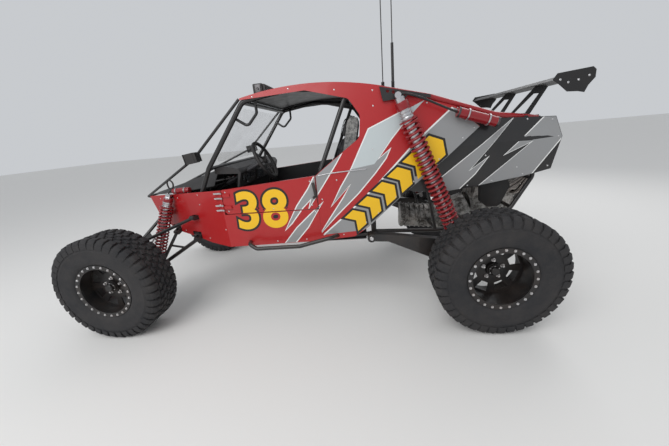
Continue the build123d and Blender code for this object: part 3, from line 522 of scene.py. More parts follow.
def bevel(obj, width, segments=2):
    """Round the edges that turn by more than the bevel angle."""
    modify(
        obj, "BEVEL", width=width, segments=segments, limit_method="ANGLE", angle_limit=BEVEL_ANGLE)


def outward(obj):
    """Merge doubles and point every face outwards."""
    with editing(obj):
        bpy.ops.mesh.remove_doubles(threshold=1e-6)
        bpy.ops.mesh.normals_make_consistent(inside=False)


def finish_piece(obj, name, finish, body="chassis", smooth=35):
    """Name, dress and mount a finished piece."""
    apply_place(obj)
    if smooth:
        bpy.ops.object.shade_smooth_by_angle(angle=radians(smooth))
    obj.name = obj.data.name = name
    dress(obj, finish)
    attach(obj, body)
    return obj


def box_at(place, size, turn=(0, 0, 0)):
    """Cube primitive of a size in metres at a place."""
    deselect_all()
    bpy.ops.mesh.primitive_cube_add(size=1, location=place, rotation=[radians(a) for a in turn])
    obj = bpy.context.object
    obj.scale = size
    apply_place(obj)
    return obj


def bar_between(start, end, radius, sides=16):
    """Cylinder primitive from point to point."""
    start, end = Vector(start), Vector(end)
    deselect_all()
    bpy.ops.mesh.primitive_cylinder_add(vertices=sides, radius=radius, depth=(end - start).length)
    obj = bpy.context.object
    obj.matrix_world = aimed((start + end) / 2, end - start)
    apply_place(obj)
    return obj


def mirrored(obj):
    """The same piece on the right side, with its own mesh."""
    pick(obj)
    bpy.ops.object.duplicate()
    twin = bpy.context.object
    twin.scale = (1, -1, 1)
    apply_place(twin)
    outward(twin)
    return twin


def ring_array(obj, count):
    """Repeat an object round the Y axis through the origin."""
    guide = bpy.data.objects.new("array_guide", None)
    guide.rotation_euler = (0, 2 * pi / count, 0)
    bpy.context.collection.objects.link(guide)
    bpy.context.view_layer.update()
    modify(
        obj, "ARRAY", count=count, use_relative_offset=False, use_object_offset=True,
        offset_object=guide)
    bpy.data.objects.remove(guide)


print("piece helpers ready")

# %% [markdown]
# A tyre for sand and rock: a round-shouldered carcass, rows of interlocking blocks, and
# shoulder lugs that run far down the sidewall. The carcass is one outline spun round the
# axle. One pitch of blocks is modelled and repeated round it.

# %% Tyre carcass
GROOVE_R = TYRE_R - 0.016
BEAD_R = 0.2125
PITCHES = 40
CARCASS = (
    (BEAD_R, 0.108), (BEAD_R + 0.001, 0.127), (0.231, 0.130), (0.242, 0.143), (0.262, 0.150),
    (0.300, 0.1535), (0.345, 0.1525), (0.352, 0.1545), (0.358, 0.1525), (0.395, 0.149),
    (0.415, 0.140), (GROOVE_R - 0.002, 0.118), (GROOVE_R, 0.060), (GROOVE_R, 0.0),
)


def spun(outline, steps, name):
    """Closed ring from an outline of (radius, across) points, spun round the Y axis."""
    mesh = bpy.data.meshes.new(name)
    edges = [(i, i + 1) for i in range(len(outline) - 1)]
    mesh.from_pydata([(0, across, radius) for radius, across in outline], edges, [])
    obj = bpy.data.objects.new(name, mesh)
    bpy.context.collection.objects.link(obj)
    with editing(obj):
        bpy.ops.mesh.spin(steps=steps, angle=2 * pi, center=(0, 0, 0), axis=(0, 1, 0))
    outward(obj)
    return obj


def tyre_carcass():
    """Both halves of the outline, closed at the beads by an inner wall."""
    half = list(CARCASS)
    other = [(r, -y) for r, y in reversed(CARCASS[:-1])]
    wall = [(BEAD_R + 0.010, -0.095), (BEAD_R + 0.010, 0.095), (BEAD_R, 0.108)]
    return spun(half + other + wall, 120, "tyre_carcass")


print("carcass outline points", 2 * len(CARCASS))

# %% [markdown]
# A tread block is a cube drawn in at its top, as moulded rubber leaves its mould. The
# shoulder lug is longer, and its outer end is pulled down over the shoulder.

# %% Tread blocks
BLOCK_LOW, BLOCK_HIGH = GROOVE_R - 0.006, TYRE_R - 0.0025
BLOCK_TOP_SHARE = 0.84
# Lead and length are shares of the pitch, place across and width metres, skew degrees
BLOCK_ROWS = ((-0.20, 0.62, 0.060, 0.034, 24), (0.18, 0.66, 0.0215, 0.033, -20))
LUG_LEAD, LUG_LENGTH, LUG_Y, LUG_WIDTH, LUG_SKEW = 0.25, 0.80, 0.106, 0.052, 4
OVER_SHOULDER, DOWN_SIDEWALL = (0.022, -0.022), (0.002, -0.050)


def tread_block(lead, across, length, width, skew):
    """One block of the tread, rooted below the groove's floor."""
    block = box_at((0, 0, 0), (length, width, BLOCK_HIGH - BLOCK_LOW), (0, 0, skew))
    with editing_where(block, lambda middle, normal: normal.z > 0.7):
        bpy.ops.transform.resize(
            value=(BLOCK_TOP_SHARE, BLOCK_TOP_SHARE, 1), center_override=(0, 0, 0))
    block.location = (lead, across, (BLOCK_LOW + BLOCK_HIGH) / 2)
    apply_place(block)
    return block


def shoulder_lug(lead, side, length):
    """Lug that wraps from the tread down the sidewall, by extruding its outer end twice."""
    lug = tread_block(lead, side * LUG_Y, length, LUG_WIDTH, side * LUG_SKEW)
    over, down = [(0, side * out, drop) for out, drop in (OVER_SHOULDER, DOWN_SIDEWALL)]
    with editing_where(lug, lambda middle, normal: normal.y * side > 0.7):
        bpy.ops.mesh.extrude_region_move(TRANSFORM_OT_translate={"value": over})
        bpy.ops.transform.resize(value=(1.0, 1.0, 0.9), center_override=(lead, side * 0.154, 0.412))
        bpy.ops.mesh.extrude_region_move(TRANSFORM_OT_translate={"value": down})
        bpy.ops.transform.resize(value=(0.92, 1.0, 0.25), center_override=(lead, side * 0.156, 0.375))
    return lug


def tread_pitch():
    """The blocks of one pitch, across the whole tread."""
    step = 2 * pi * TYRE_R / PITCHES
    blocks = []
    for side in (-1, 1):
        lead = step * LUG_LEAD * side
        blocks.append(shoulder_lug(lead, side, step * LUG_LENGTH))
        for ahead, length, across, width, skew in BLOCK_ROWS:
            blocks.append(tread_block(
                lead + step * ahead, side * across, step * length, width, side * skew))
    pitch = join(blocks)
    bevel(pitch, 0.0022, 1)
    return pitch


tread = tread_pitch()
ring_array(tread, PITCHES)
tyre_model = join([tyre_carcass(), tread])
print("tyre faces", len(tyre_model.data.polygons))

# %% [markdown]
# The four tyres are copies of that model, each with its own mesh. The fronts and rears are
# the same size on this car. Each stands for its plain CAD tyre and rides on its wheel.

# %% Mount the tyres


def copy_of(model):
    """Copy of an object with its own mesh."""
    twin = model.copy()
    twin.data = model.data.copy()
    bpy.context.collection.objects.link(twin)
    return twin


def bring(model, place, flip=False):
    """Move a model from the origin to its place, mirrored for the right side."""
    model.location = place
    if flip:
        model.scale = (1, -1, 1)
    apply_place(model)
    if flip:
        outward(model)
    return model


def wheel_place(end, side):
    """Middle of a wheel."""
    x = FRONT_AXLE_X if end == "front" else REAR_AXLE_X
    return Vector((x, WHEEL_Y * SIGN[side], TYRE_R))


for end, side, body in WHEELS:
    made = bring(copy_of(tyre_model), wheel_place(end, side), side == "right")
    finish_piece(made, f"tyre_{end}_{side}_tread", "tyre_rubber", body, smooth=32)
    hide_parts(f"tyre_{end}_{side}")
bpy.data.objects.remove(tyre_model)
print("tyres mounted", len(WHEELS))

# %% [markdown]
# Beadlock rims clamp the tyre's edge with a bolted ring. Its 24 bright bolt heads, the five
# wheel nuts and the stepped hub cap are what catches the eye on a black wheel.

# %% Rim hardware
BOLT_CIRCLE_R, BOLT_COUNT = 0.2175, 24
NUT_CIRCLE_R, NUT_COUNT = 0.06985, 5
RING_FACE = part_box("rim_front_left")[1][1] - WHEEL_Y
DISC_FACE = {"front": 0.945 - WHEEL_Y, "rear": 0.880 - WHEEL_Y}


def bolt_head(radius, height):
    """Hexagon head on its washer, pointing along Y, its seat at the origin."""
    deselect_all()
    bpy.ops.mesh.primitive_cylinder_add(vertices=16, radius=radius * 1.35, depth=height * 0.3)
    washer = bpy.context.object
    washer.location = (0, height * 0.15, 0)
    washer.rotation_euler = (pi / 2, 0, 0)
    apply_place(washer)
    deselect_all()
    bpy.ops.mesh.primitive_cylinder_add(vertices=6, radius=radius, depth=height)
    head = bpy.context.object
    head.location = (0, height * 0.6, 0)
    head.rotation_euler = (-pi / 2, 0, 0)
    apply_place(head)
    with editing_where(head, lambda middle, normal: normal.y > 0.7):
        bpy.ops.mesh.inset(thickness=radius * 0.3, depth=-radius * 0.18)
    bevel(head, radius * 0.10, 1)
    return join([washer, head])


def ring_of_heads(radius, count, head_radius, height, y):
    """Ring of bolt heads round the Y axis."""
    heads = bolt_head(head_radius, height)
    heads.location = (0, y, radius)
    apply_place(heads)
    ring_array(heads, count)
    return heads


def hub_cap(y):
    """Stepped cap over the wheel bearing."""
    return spun(
        [(0.0005, y + 0.062), (0.026, y + 0.062), (0.031, y + 0.057), (0.032, y + 0.040),
         (0.040, y + 0.036), (0.044, y + 0.024), (0.0005, y + 0.024)], 40, "hub_cap")


for end, side, body in WHEELS:
    hub, flip = wheel_place(end, side), side == "right"
    bolts = bring(ring_of_heads(BOLT_CIRCLE_R, BOLT_COUNT, 0.0070, 0.0075, RING_FACE), hub, flip)
    finish_piece(bolts, f"beadlock_bolts_{end}_{side}", "bolt_steel", body)
    nuts = ring_of_heads(NUT_CIRCLE_R, NUT_COUNT, 0.0105, 0.020, DISC_FACE[end])
    studs = ring_of_heads(0.034, 6, 0.0035, 0.003, DISC_FACE[end] + 0.040)
    hardware = bring(join([nuts, studs]), hub, flip)
    finish_piece(hardware, f"wheel_nuts_{end}_{side}", "bolt_steel", body)
    cap = bring(hub_cap(DISC_FACE[end]), hub, flip)
    finish_piece(cap, f"hub_cap_{end}_{side}", "wheel_black", body)
print("rims fitted with", BOLT_COUNT, "ring bolts each")

# %% [markdown]
# Coil springs are round wire wound round the damper. A small circle is set at the coil's
# radius, and the Screw modifier winds it up by a pitch a turn, which is how a coil is wound.

# %% Coil springs
# Ends in millimetres, wire thickness and radii in metres, from and to as shares of the way
SHOCKS = {
    "front": {"top": (2670, 478, 1080), "foot": (2885, 548, 500), "wire": 0.0155, "coil": 0.0480,
              "coils": 14, "from": 0.18, "to": 0.91, "sleeve": 0.034},
    "rear": {"top": (637, 700, 1700), "foot": (215, 700, 665), "wire": 0.0205, "coil": 0.0560,
             "coils": 23, "from": 0.17, "to": 0.93, "sleeve": 0.041},
}


def coil(wire, radius, pitch, turns):
    """Wound wire along Z from the origin."""
    deselect_all()
    bpy.ops.mesh.primitive_circle_add(
        vertices=10, radius=wire / 2, location=(radius, 0, 0), rotation=(pi / 2, 0, 0))
    wound = bpy.context.object
    apply_place(wound)
    modify(
        wound, "SCREW", axis="Z", angle=2 * pi, screw_offset=pitch, iterations=turns, steps=24,
        render_steps=24, use_merge_vertices=True)
    with editing(wound):
        bpy.ops.mesh.fill_holes(sides=12)
    outward(wound)
    return wound


def along(obj, start, end):
    """Turn an object modelled up Z so that it points from start to end."""
    obj.matrix_world = aimed(start, (end - start).normalized())
    apply_place(obj)


for end, spec in SHOCKS.items():
    top, foot = car(*spec["top"]), car(*spec["foot"])
    run = foot - top
    start, stop = top + run * spec["from"], top + run * spec["to"]
    pitch = ((stop - start).length - spec["wire"]) / spec["coils"]
    wound = coil(spec["wire"], spec["coil"], pitch, spec["coils"])
    along(wound, start, stop)
    both_coils = join([wound, mirrored(wound)])
    finish_piece(both_coils, f"{end}_coils", "spring_red", smooth=60)
    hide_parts(f"{end}_springs")
print("coils wound", {end: spec["coils"] for end, spec in SHOCKS.items()})

# %% [markdown]
# Stickers are flat shapes first. Each is drawn in side view, cut to the panel that carries
# it, sliced into a grid so that it can bend, and pressed on the panel by Shrinkwrap. What
# lies on the door is its own piece, so that it swings with the door.

# %% Sticker helpers
GRID_STEP, GRID_STEPS, GRID_LOW = 80, range(-8, 28), 640
BESIDE_CAR = 900
FAR_SIDE = 0.86
PANELS = {
    "sail_panel": ("chassis", [
        ((1268, 900), (1, 0)), ((1000, 669), (-16, -270)), ((218, 1597), (-65, 202)),
        ((420, 1662), (-121, 322)), ((218, 1597), (-155, 178)), ((1000, 669), (-73, -116))]),
    "side_panel": ("chassis", [
        ((1273, 900), (-1, 0)), ((1500, 920), (0, 1)), ((1271, 653), (-14, -629))]),
    "door": ("door", [
        ((1279, 1000), (-1, 0)), ((1500, 930), (0, -1)), ((1271, 1186), (60, 784)),
        ((2050, 1000), (1, 0))]),
    "quarter_panel": ("chassis", [
        ((-90, 1488), (13, 180)), ((-90, 1488), (-21, 403)), ((-490, 1470), (-143, 48)),
        ((-538, 1327), (-230, -46)), ((-495, 1100), (-45, -184)), ((-311, 1055), (-50, -322)),
        ((11, 1005), (-32, -244)), ((255, 973), (15, -257))]),
}
# Lines along which the panels are folded, so that a sticker is cut there and can bend
CREASES = [
    ((742, 900), (1, 0)), ((742, 1215), (15, 529)), ((742, 1214), (0, 1)),
    ((20, 1316), (-30, 1160))]
stickers = {}


def slice_at(place, away, clear=False):
    """Cut the mesh in edit mode along a line of the side view."""
    bpy.ops.mesh.select_all(action="SELECT")
    normal = Vector((away[0], 0, away[1])).normalized()
    bpy.ops.mesh.bisect(plane_co=car(place[0], 0, place[1]), plane_no=normal, clear_outer=clear)


def press_on(obj, panel, side, finish, lift, more=()):
    """Cut a flat shape to a panel, press it on and keep it for the panel's body.

    Each limit is a place and the direction in which the shape is cut away. The lift off
    the panel is in millimetres. A point that misses the panel stays far out, and is deleted.
    """
    body, limits = PANELS[panel]
    with editing(obj):
        bpy.ops.mesh.quads_convert_to_tris()
        for place, away in (*limits, *more):
            slice_at(place, away, clear=True)
        for place, away in CREASES:
            slice_at(place, away)
        for step in GRID_STEPS:
            slice_at((step * GRID_STEP, 0), (1, 0))
            slice_at((0, GRID_LOW + step * GRID_STEP), (0, 1))
    if not obj.data.polygons:
        bpy.data.objects.remove(obj)
        return
    sign = SIGN[side]
    modify(
        obj, "SHRINKWRAP", target=nodes[f"{panel}_{side}"], wrap_method="PROJECT", use_project_y=True,
        use_positive_direction=sign < 0, use_negative_direction=sign > 0)
    with editing_where(obj, lambda middle, normal: abs(middle.y) > FAR_SIDE, "vertices"):
        bpy.ops.mesh.delete(type="VERT")
    if not obj.data.polygons:
        bpy.data.objects.remove(obj)
        return
    obj.location.y = sign * lift * MM
    apply_place(obj)
    carrier = f"{body}_{side}" if body == "door" else body
    stickers.setdefault((side, carrier, finish), []).append(obj)


def flat_shape(outline, side):
    """Flat face beside the car from (x, z) points, facing outwards."""
    area = sum(a[0] * b[1] - b[0] * a[1] for a, b in zip(outline, outline[1:] + outline[:1]))
    sign = SIGN[side]
    points = outline if area * sign < 0 else outline[::-1]
    mesh = bpy.data.meshes.new("sticker")
    mesh.from_pydata([car(x, sign * BESIDE_CAR, z) for x, z in points], [], [range(len(points))])
    obj = bpy.data.objects.new("sticker", mesh)
    bpy.context.collection.objects.link(obj)
    return obj


def grown(outline, amount):
    """Outline moved out by an amount, with its sharp points limited."""
    points = [Vector(point) for point in outline]
    area = sum(a[0] * b[1] - b[0] * a[1] for a, b in zip(outline, outline[1:] + outline[:1]))
    turn = 1 if area > 0 else -1
    out = []
    for before, here, after in zip(points[-1:] + points[:-1], points, points[1:] + points[:1]):
        first, second = (here - before).normalized(), (after - here).normalized()
        first, second = Vector((first.y, -first.x)) * turn, Vector((second.y, -second.x)) * turn
        middle = (first + second).normalized()
        out.append(tuple(here + middle * amount / max(middle.dot(first), 0.35)))
    return out


print("panels that carry stickers", list(PANELS))

# %% [markdown]
# Silver bolts of lightning with white edges cross the red panels and the black tail. Their
# corner points are in millimetres in side view. A banner of yellow arrows with black edges
# runs up the rear of the sail panel, and its arrows grow towards the top.

# %% Bolts and banner
BOLTS = {
    "front_bolt": [
        (845, 1494), (616, 1586), (591, 1519), (683, 1416), (793, 1267), (701, 1332),
        (729, 1279), (816, 1173), (955, 1024), (1146, 851), (1289, 701), (1192, 829),
        (1066, 1000), (1001, 1108), (1161, 948), (1083, 1079), (988, 1221)],
    "door_bolt": [
        (1254, 1229), (1068, 1328), (1110, 1267), (1204, 1137), (1271, 1047), (1346, 943),
        (1320, 1016), (1400, 946), (1508, 818), (1561, 768), (1443, 959), (1338, 1090),
        (1273, 1195)],
    "sill_bolt": [(1244, 967), (1376, 779), (1501, 645), (1617, 606), (1468, 773), (1344, 881)],
    "tail_bolt": [
        (301, 1081), (-205, 1484), (98, 1118), (-34, 1211), (51, 1097), (178, 972), (255, 968)],
    "rear_bolt": [
        (11, 1002), (-349, 1312), (-164, 1230), (-418, 1473), (-496, 1471), (-541, 1327),
        (-361, 1066), (-311, 1052)],
}
# The top and the tip of the front bolt, above the belt crease, are laid over in the lighter silver: a
# painted highlight where light falls on the upper face.
LIT_BOLT_TOP = [
    (845, 1494), (616, 1586), (591, 1519), (683, 1416), (793, 1267), (816, 1240), (1000, 1215),
    (988, 1221)]
LIT_BOLT_TIP = [(616, 1586), (435, 1661), (533, 1570), (591, 1519)]
BAND = [
    (218, 1602), (170, 1548), (40, 1445), (270, 1249), (597, 989), (884, 740), (905, 716),
    (1244, 701), (976, 917), (801, 1073), (538, 1333), (439, 1420)]
BOLT_EDGE, TAIL_EDGE, STRIP_SHIFT = 9, 8, (8, 9)
BAND_EDGE = [(1244, 701), (976, 917), (801, 1073), (538, 1333), (439, 1420), (218, 1602)]
WINDOW_CORNER = [((1190, 1246), (60, 81)), ((1190, 1246), (190, 272))]
BANNER_FOOT, BANNER_MIDDLE, BANNER_EDGE = Vector((972, 668)), 112, 17
BANNER_ALONG, BANNER_ACROSS = Vector((-0.768, 0.640)), Vector((0.640, 0.768))
ARROW_COUNT, ARROW_FOOT, ARROW_STEP, ARROW_REACH = 6, 28, 154, 52
ARROW_LENGTH, ARROW_HEIGHT = 92, 160
LONGER, TALLER = 4, 6
BOLT_PANELS = {
    "front_bolt": ("sail_panel",),
    "door_bolt": ("sail_panel", "side_panel", "door"),
    "sill_bolt": ("sail_panel", "side_panel", "door"),
}


def arrow(index):
    """Chevron in the banner's own directions, pointing up the banner and growing with index."""
    start = ARROW_FOOT + index * ARROW_STEP
    length, height = ARROW_LENGTH + index * LONGER, ARROW_HEIGHT + index * TALLER
    corners = [
        (0, 0), (length, 0), (length + ARROW_REACH, height / 2), (length, height), (0, height),
        (ARROW_REACH, height / 2)]
    low = BANNER_MIDDLE - height / 2
    return [
        tuple(BANNER_FOOT + BANNER_ALONG * (start + u) + BANNER_ACROSS * (low + v))
        for u, v in corners]


for side, _ in SIDES:
    for name, panels in BOLT_PANELS.items():
        outline = BOLTS[name]
        for panel in panels:
            more = WINDOW_CORNER if (name, panel) == ("door_bolt", "sail_panel") else ()
            press_on(flat_shape(grown(outline, BOLT_EDGE), side), panel, side, "decal_white", 0.4, more)
            press_on(flat_shape(outline, side), panel, side, "decal_silver", 0.8, more)
    for name in ("tail_bolt", "rear_bolt"):
        edge = grown(BOLTS[name], TAIL_EDGE)
        press_on(flat_shape(edge, side), "quarter_panel", side, "decal_white", 0.4)
        press_on(flat_shape(BOLTS[name], side), "quarter_panel", side, "decal_silver", 0.8)
    # Painted highlight: the lighter silver over the top and the tip of the front bolt.
    press_on(flat_shape(LIT_BOLT_TOP, side), "sail_panel", side, "decal_pale", 1.0)
    press_on(flat_shape(LIT_BOLT_TIP, side), "sail_panel", side, "decal_pale", 0.6)
    press_on(flat_shape(BAND, side), "sail_panel", side, "decal_silver", 0.5)
    strip = BAND_EDGE + [
        (x + STRIP_SHIFT[0], z + STRIP_SHIFT[1]) for x, z in reversed(BAND_EDGE)]
    press_on(flat_shape(strip, side), "sail_panel", side, "decal_white", 0.7)
    for index in range(ARROW_COUNT):
        chevron, edge = arrow(index), grown(arrow(index), BANNER_EDGE)
        press_on(flat_shape(edge, side), "sail_panel", side, "decal_black", 1.1)
        press_on(flat_shape(chevron, side), "sail_panel", side, "decal_yellow", 1.5)
print("sticker pieces", sum(len(pieces) for pieces in stickers.values()))

# %% [markdown]
# The race number is plain text turned into a mesh. A wider copy in black below it makes
# the outline. On the right side it is set the other way round, so that it still reads.

# %% Race number
NUMBER, NUMBER_SIZE = "38", 0.43
NUMBER_X, NUMBER_Z = 1752, 800
OUTLINE_SPREAD, FIGURE_SPREAD = 0.030, 0.012


def number_shape(side, spread):
    """The number as a flat mesh beside the car."""
    deselect_all()
    sign = SIGN[side]
    turn = pi if side == "left" else 0
    bpy.ops.object.text_add(
        location=car(NUMBER_X, sign * BESIDE_CAR, NUMBER_Z), rotation=(pi / 2, 0, turn))
    text = bpy.context.object
    text.data.body = NUMBER
    text.data.size = NUMBER_SIZE
    text.data.align_x = "CENTER"
    text.data.offset = spread
    text.data.space_character = 1.06
    text.data.shear = 0.06
    bpy.ops.object.convert(target="MESH")
    number = bpy.context.object
    apply_place(number)
    with editing(number):
        bpy.ops.mesh.remove_doubles(threshold=0.0005)
    return number


for side, _ in SIDES:
    for panel in ("door", "side_panel"):
        press_on(number_shape(side, OUTLINE_SPREAD), panel, side, "decal_black", 0.8)
        press_on(number_shape(side, FIGURE_SPREAD), panel, side, "decal_yellow", 1.3)

for (side, carrier, finish), pieces in stickers.items():
    made = join(pieces)
    finish_piece(made, f"{finish}_{side}_{carrier}", finish, carrier, smooth=0)
print("sticker objects", len(stickers))

# %% [markdown]
# Small parts that repeat are made once and joined: a screw head is a flattened sphere, and
# a ray from outside finds the place on the panel where each one sits.

# %% Screws, latches and the belt trim


def on_panel(panel, side, x, z):
    """Place and outward direction on a side panel at a spot of the side view."""
    sign = SIGN[side]
    start = car(x, sign * 1200, z)
    hit, place, normal, _ = nodes[f"{panel}_{side}"].ray_cast(start, Vector((0, -sign, 0)))
    assert hit, (panel, x, z)
    return place, normal


def screw_heads(spots, radius, name, body="chassis"):
    """Domed heads at (place, direction) spots, joined into one piece."""
    deselect_all()
    bpy.ops.mesh.primitive_uv_sphere_add(segments=14, ring_count=8, radius=radius)
    dome = bpy.context.object
    dome.scale = (1, 1, 0.45)
    apply_place(dome)
    heads = []
    for place, normal in spots:
        head = copy_of(dome)
        head.matrix_world = aimed(place, normal)
        apply_place(head)
        heads.append(head)
    bpy.data.objects.remove(dome)
    return finish_piece(join(heads), name, "bolt_steel", body)


PANEL_SCREWS = {
    "side_panel": ("chassis", [
        (2085, 1010), (2085, 790), (2330, 1084), (2330, 1000), (2600, 1050), (2850, 1035),
        (2300, 690), (2600, 735), (2870, 880), (1900, 665), (1650, 665), (1400, 670),
        (1300, 900)]),
    "sail_panel": ("chassis", [
        (1236, 1000), (1110, 1143), (826, 1350), (900, 780), (800, 850), (660, 970), (520, 1080),
        (330, 1235), (160, 1375), (80, 1440), (230, 1580), (420, 1640), (600, 1705), (805, 1654),
        (805, 1760), (1080, 1790), (1420, 1829), (1700, 1800), (1250, 700), (1090, 690)]),
    "door": ("door", [(1320, 960), (1320, 1150), (1640, 950), (2020, 950), (2020, 1110)]),
    "quarter_panel": ("chassis", [
        (-60, 1470), (-300, 1465), (-470, 1450), (-515, 1330), (-470, 1120), (-300, 1070),
        (-80, 1032), (100, 1008), (-253, 1125), (-20, 1230)]),
}
for side, _ in SIDES:
    for panel, (carrier, spots) in PANEL_SCREWS.items():
        body = f"door_{side}" if carrier == "door" else carrier
        places = [on_panel(panel, side, x, z) for x, z in spots]
        screw_heads(places, 0.0062, f"screws_{panel}_{side}", body)


def tube_along(points, radius, name, finish, smooth=True, sides=3):
    """Hose or bent pipe: a curve with a round bevel, turned into a mesh."""
    curve = bpy.data.curves.new(name, "CURVE")
    curve.dimensions = "3D"
    curve.resolution_u = 6
    curve.bevel_depth, curve.bevel_resolution, curve.use_fill_caps = radius, sides, True
    spline = curve.splines.new("NURBS" if smooth else "POLY")
    spline.points.add(len(points) - 1)
    for target, place in zip(spline.points, points):
        target.co = (*place, 1)
    if smooth:
        spline.order_u, spline.use_endpoint_u = min(4, len(points)), True
    obj = bpy.data.objects.new(name, curve)
    bpy.context.collection.objects.link(obj)
    pick(obj)
    bpy.ops.object.convert(target="MESH")
    return finish_piece(bpy.context.object, name, finish)


TRIM = ((1248, 1190), (1180, 1198), (1060, 1204), (960, 1207), (880, 1209))
for side, sign in SIDES:
    off_panel = Vector((0, sign * 0.002, 0))
    trim = [on_panel("sail_panel", side, x, z)[0] + off_panel for x, z in TRIM]
    tube_along(trim, 0.0045, f"belt_trim_{side}", "machined_steel", smooth=False)
    place = on_panel("door", side, 1300, 1090)[0]
    strap = box_at(place + Vector((-0.012, sign * 0.008, -0.010)), (0.022, 0.010, 0.120), (0, 8, 0))
    bevel(strap, 0.004)
    knob_foot = place + Vector((-0.004, sign * 0.004, -0.066))
    knob_top = place + Vector((-0.004, sign * 0.022, -0.066))
    knob = bar_between(knob_foot, knob_top, 0.011)
    bevel(knob, 0.002)
    finish_piece(join([strap, knob]), f"door_latch_{side}", "lamp_black", f"door_{side}")
print("screws and trim on", len(PANEL_SCREWS), "panels of each side")

# %% [markdown]
# The dampers get what the plain solid lacks: a red top cap, red seats for the coil and
# bright collars. The rear gas bottles get clamps and end caps, and a hose to their damper.
# All but the hose are rings round one axis, spun from an outline.

# %% Damper details


def rings_on(top, foot, outlines, name, finish):
    """Spun rings strung on a damper, on both sides. Outlines are (radius, share) lists."""
    start, stop = car(*top), car(*foot)
    run = (stop - start).length
    rings = []
    for outline in outlines:
        ring = spun([(radius, share * run) for radius, share in outline], 32, name)
        ring.rotation_euler = (pi / 2, 0, 0)
        apply_place(ring)
        along(ring, start, stop)
        rings.append(ring)
    whole = join(rings)
    whole = join([whole, mirrored(whole)])
    return finish_piece(whole, name, finish)


def sleeve(radius, start, stop, wall):
    """Closed outline of a short tube with chamfered ends."""
    lip = (stop - start) * 0.12
    return [
        (radius - wall, start), (radius - 0.0015, start), (radius, start + lip),
        (radius, stop - lip), (radius - 0.0015, stop), (radius - wall, stop), (radius - wall, start)]


for end, spec in SHOCKS.items():
    sleeve_r, coil_r = spec["sleeve"], spec["coil"]
    seat_low, seat_high = spec["to"], spec["from"]
    rings_on(spec["top"], spec["foot"], [
        sleeve(sleeve_r + 0.006, 0.045, 0.095, 0.012),
        sleeve(coil_r + 0.010, seat_high - 0.010, seat_high, 0.020),
        sleeve(coil_r + 0.010, seat_low, seat_low + 0.010, 0.045),
    ], f"{end}_shock_red_rings", "spring_red")
    rings_on(spec["top"], spec["foot"], [
        sleeve(sleeve_r + 0.004, 0.100, 0.115, 0.008), sleeve(sleeve_r + 0.004, 0.120, 0.135, 0.008),
        sleeve(sleeve_r + 0.007, seat_high - 0.030, seat_high - 0.014, 0.012),
    ], f"{end}_shock_bright_rings", "machined_steel")

RESERVOIR = ((220, 648, 1556), (-60, 640, 1462))
REAR_HOSE = (
    (222, 648, 1557), (300, 655, 1590), (400, 668, 1640), (520, 690, 1690), (600, 700, 1712),
    (632, 700, 1706))
rings_on(*RESERVOIR, [sleeve(0.0412, share, share + 0.035, 0.003) for share in (0.232, 0.732)],
         "reservoir_clamps", "machined_steel")
rings_on(*RESERVOIR, [sleeve(0.0365, 0.0, 0.05, 0.002), sleeve(0.0365, 0.95, 1.0, 0.002)],
         "reservoir_ends", "black_bolt")
for side, sign in SIDES:
    route = [car(x, sign * y, z) for x, y, z in REAR_HOSE]
    tube_along(route, 0.008, f"rear_shock_hose_{side}", "hose_black")
print("dampers dressed")

# %% [markdown]
# Forward of the screen a small gas bottle lies along each side of the hood. Its hose loops
# over the nose's top tube and down to the front damper.

# %% Front gas bottles and their hoses
BOTTLE = ((2620, 468, 1116), (2440, 500, 1122))
FRONT_HOSE = (
    (2620, 468, 1116), (2655, 464, 1125), (2672, 466, 1190), (2640, 470, 1226),
    (2600, 474, 1200), (2600, 476, 1150), (2640, 478, 1118), (2668, 480, 1100))
for side, sign in SIDES:
    front, rear = (car(x, sign * y, z) for x, y, z in BOTTLE)
    bottle = bar_between(front, rear, 0.025, 32)
    bevel(bottle, 0.004)
    finish_piece(bottle, f"front_bottle_{side}", "spring_red")
    clamps = []
    for share in (0.22, 0.74):
        spot = front.lerp(rear, share)
        step = (rear - front).normalized() * 0.006
        ring = bar_between(spot - step, spot + step, 0.0275, 32)
        foot = bar_between(spot, spot + Vector((0, -sign * 0.012, -0.044)), 0.005)
        clamps.append(join([ring, foot]))
    finish_piece(join(clamps), f"front_bottle_clamps_{side}", "machined_steel")
    loop = [car(x, sign * y, z) for x, y, z in FRONT_HOSE]
    tube_along(loop, 0.007, f"front_hose_{side}", "hose_black")
    fitting = bar_between(car(2668, sign * 480, 1104), car(2670, sign * 480, 1080), 0.011, 6)
    finish_piece(fitting, f"front_hose_fitting_{side}", "machined_steel")
print("front bottles on both sides")

# %% [markdown]
# The lamps are plain solids in the CAD. Their look comes from a bezel round a grid of deep
# bright cells, cooling fins at the back and, on the roof lamp, bolted brackets.

# %% Lamps
POD_TURN = (0, radians(8), 0)


def cell_grid(columns, rows, width, height, depth):
    """Grid of sunk square cells facing +X, by inset and extrude on every face."""
    deselect_all()
    bpy.ops.mesh.primitive_grid_add(x_subdivisions=rows, y_subdivisions=columns, size=1)
    grid = bpy.context.object
    grid.scale = (height, width, 1)
    grid.rotation_euler = (0, pi / 2, 0)
    apply_place(grid)
    cell = min(width / columns, height / rows)
    with editing_where(grid, lambda middle, normal: True):
        bpy.ops.mesh.inset(thickness=cell * 0.09, use_individual=True)
        bpy.ops.mesh.inset(thickness=cell * 0.22, depth=-depth, use_individual=True)
    return grid


def fins(count, width, height, depth):
    """Row of cooling fins at the back of a lamp, standing along -X."""
    fin = box_at((-depth / 2, -width / 2, 0), (depth, width / count * 0.35, height))
    modify(fin, "ARRAY", count=count, use_relative_offset=False, use_constant_offset=True,
           constant_offset_displace=(0, width / (count - 1) * 0.985, 0))
    return fin


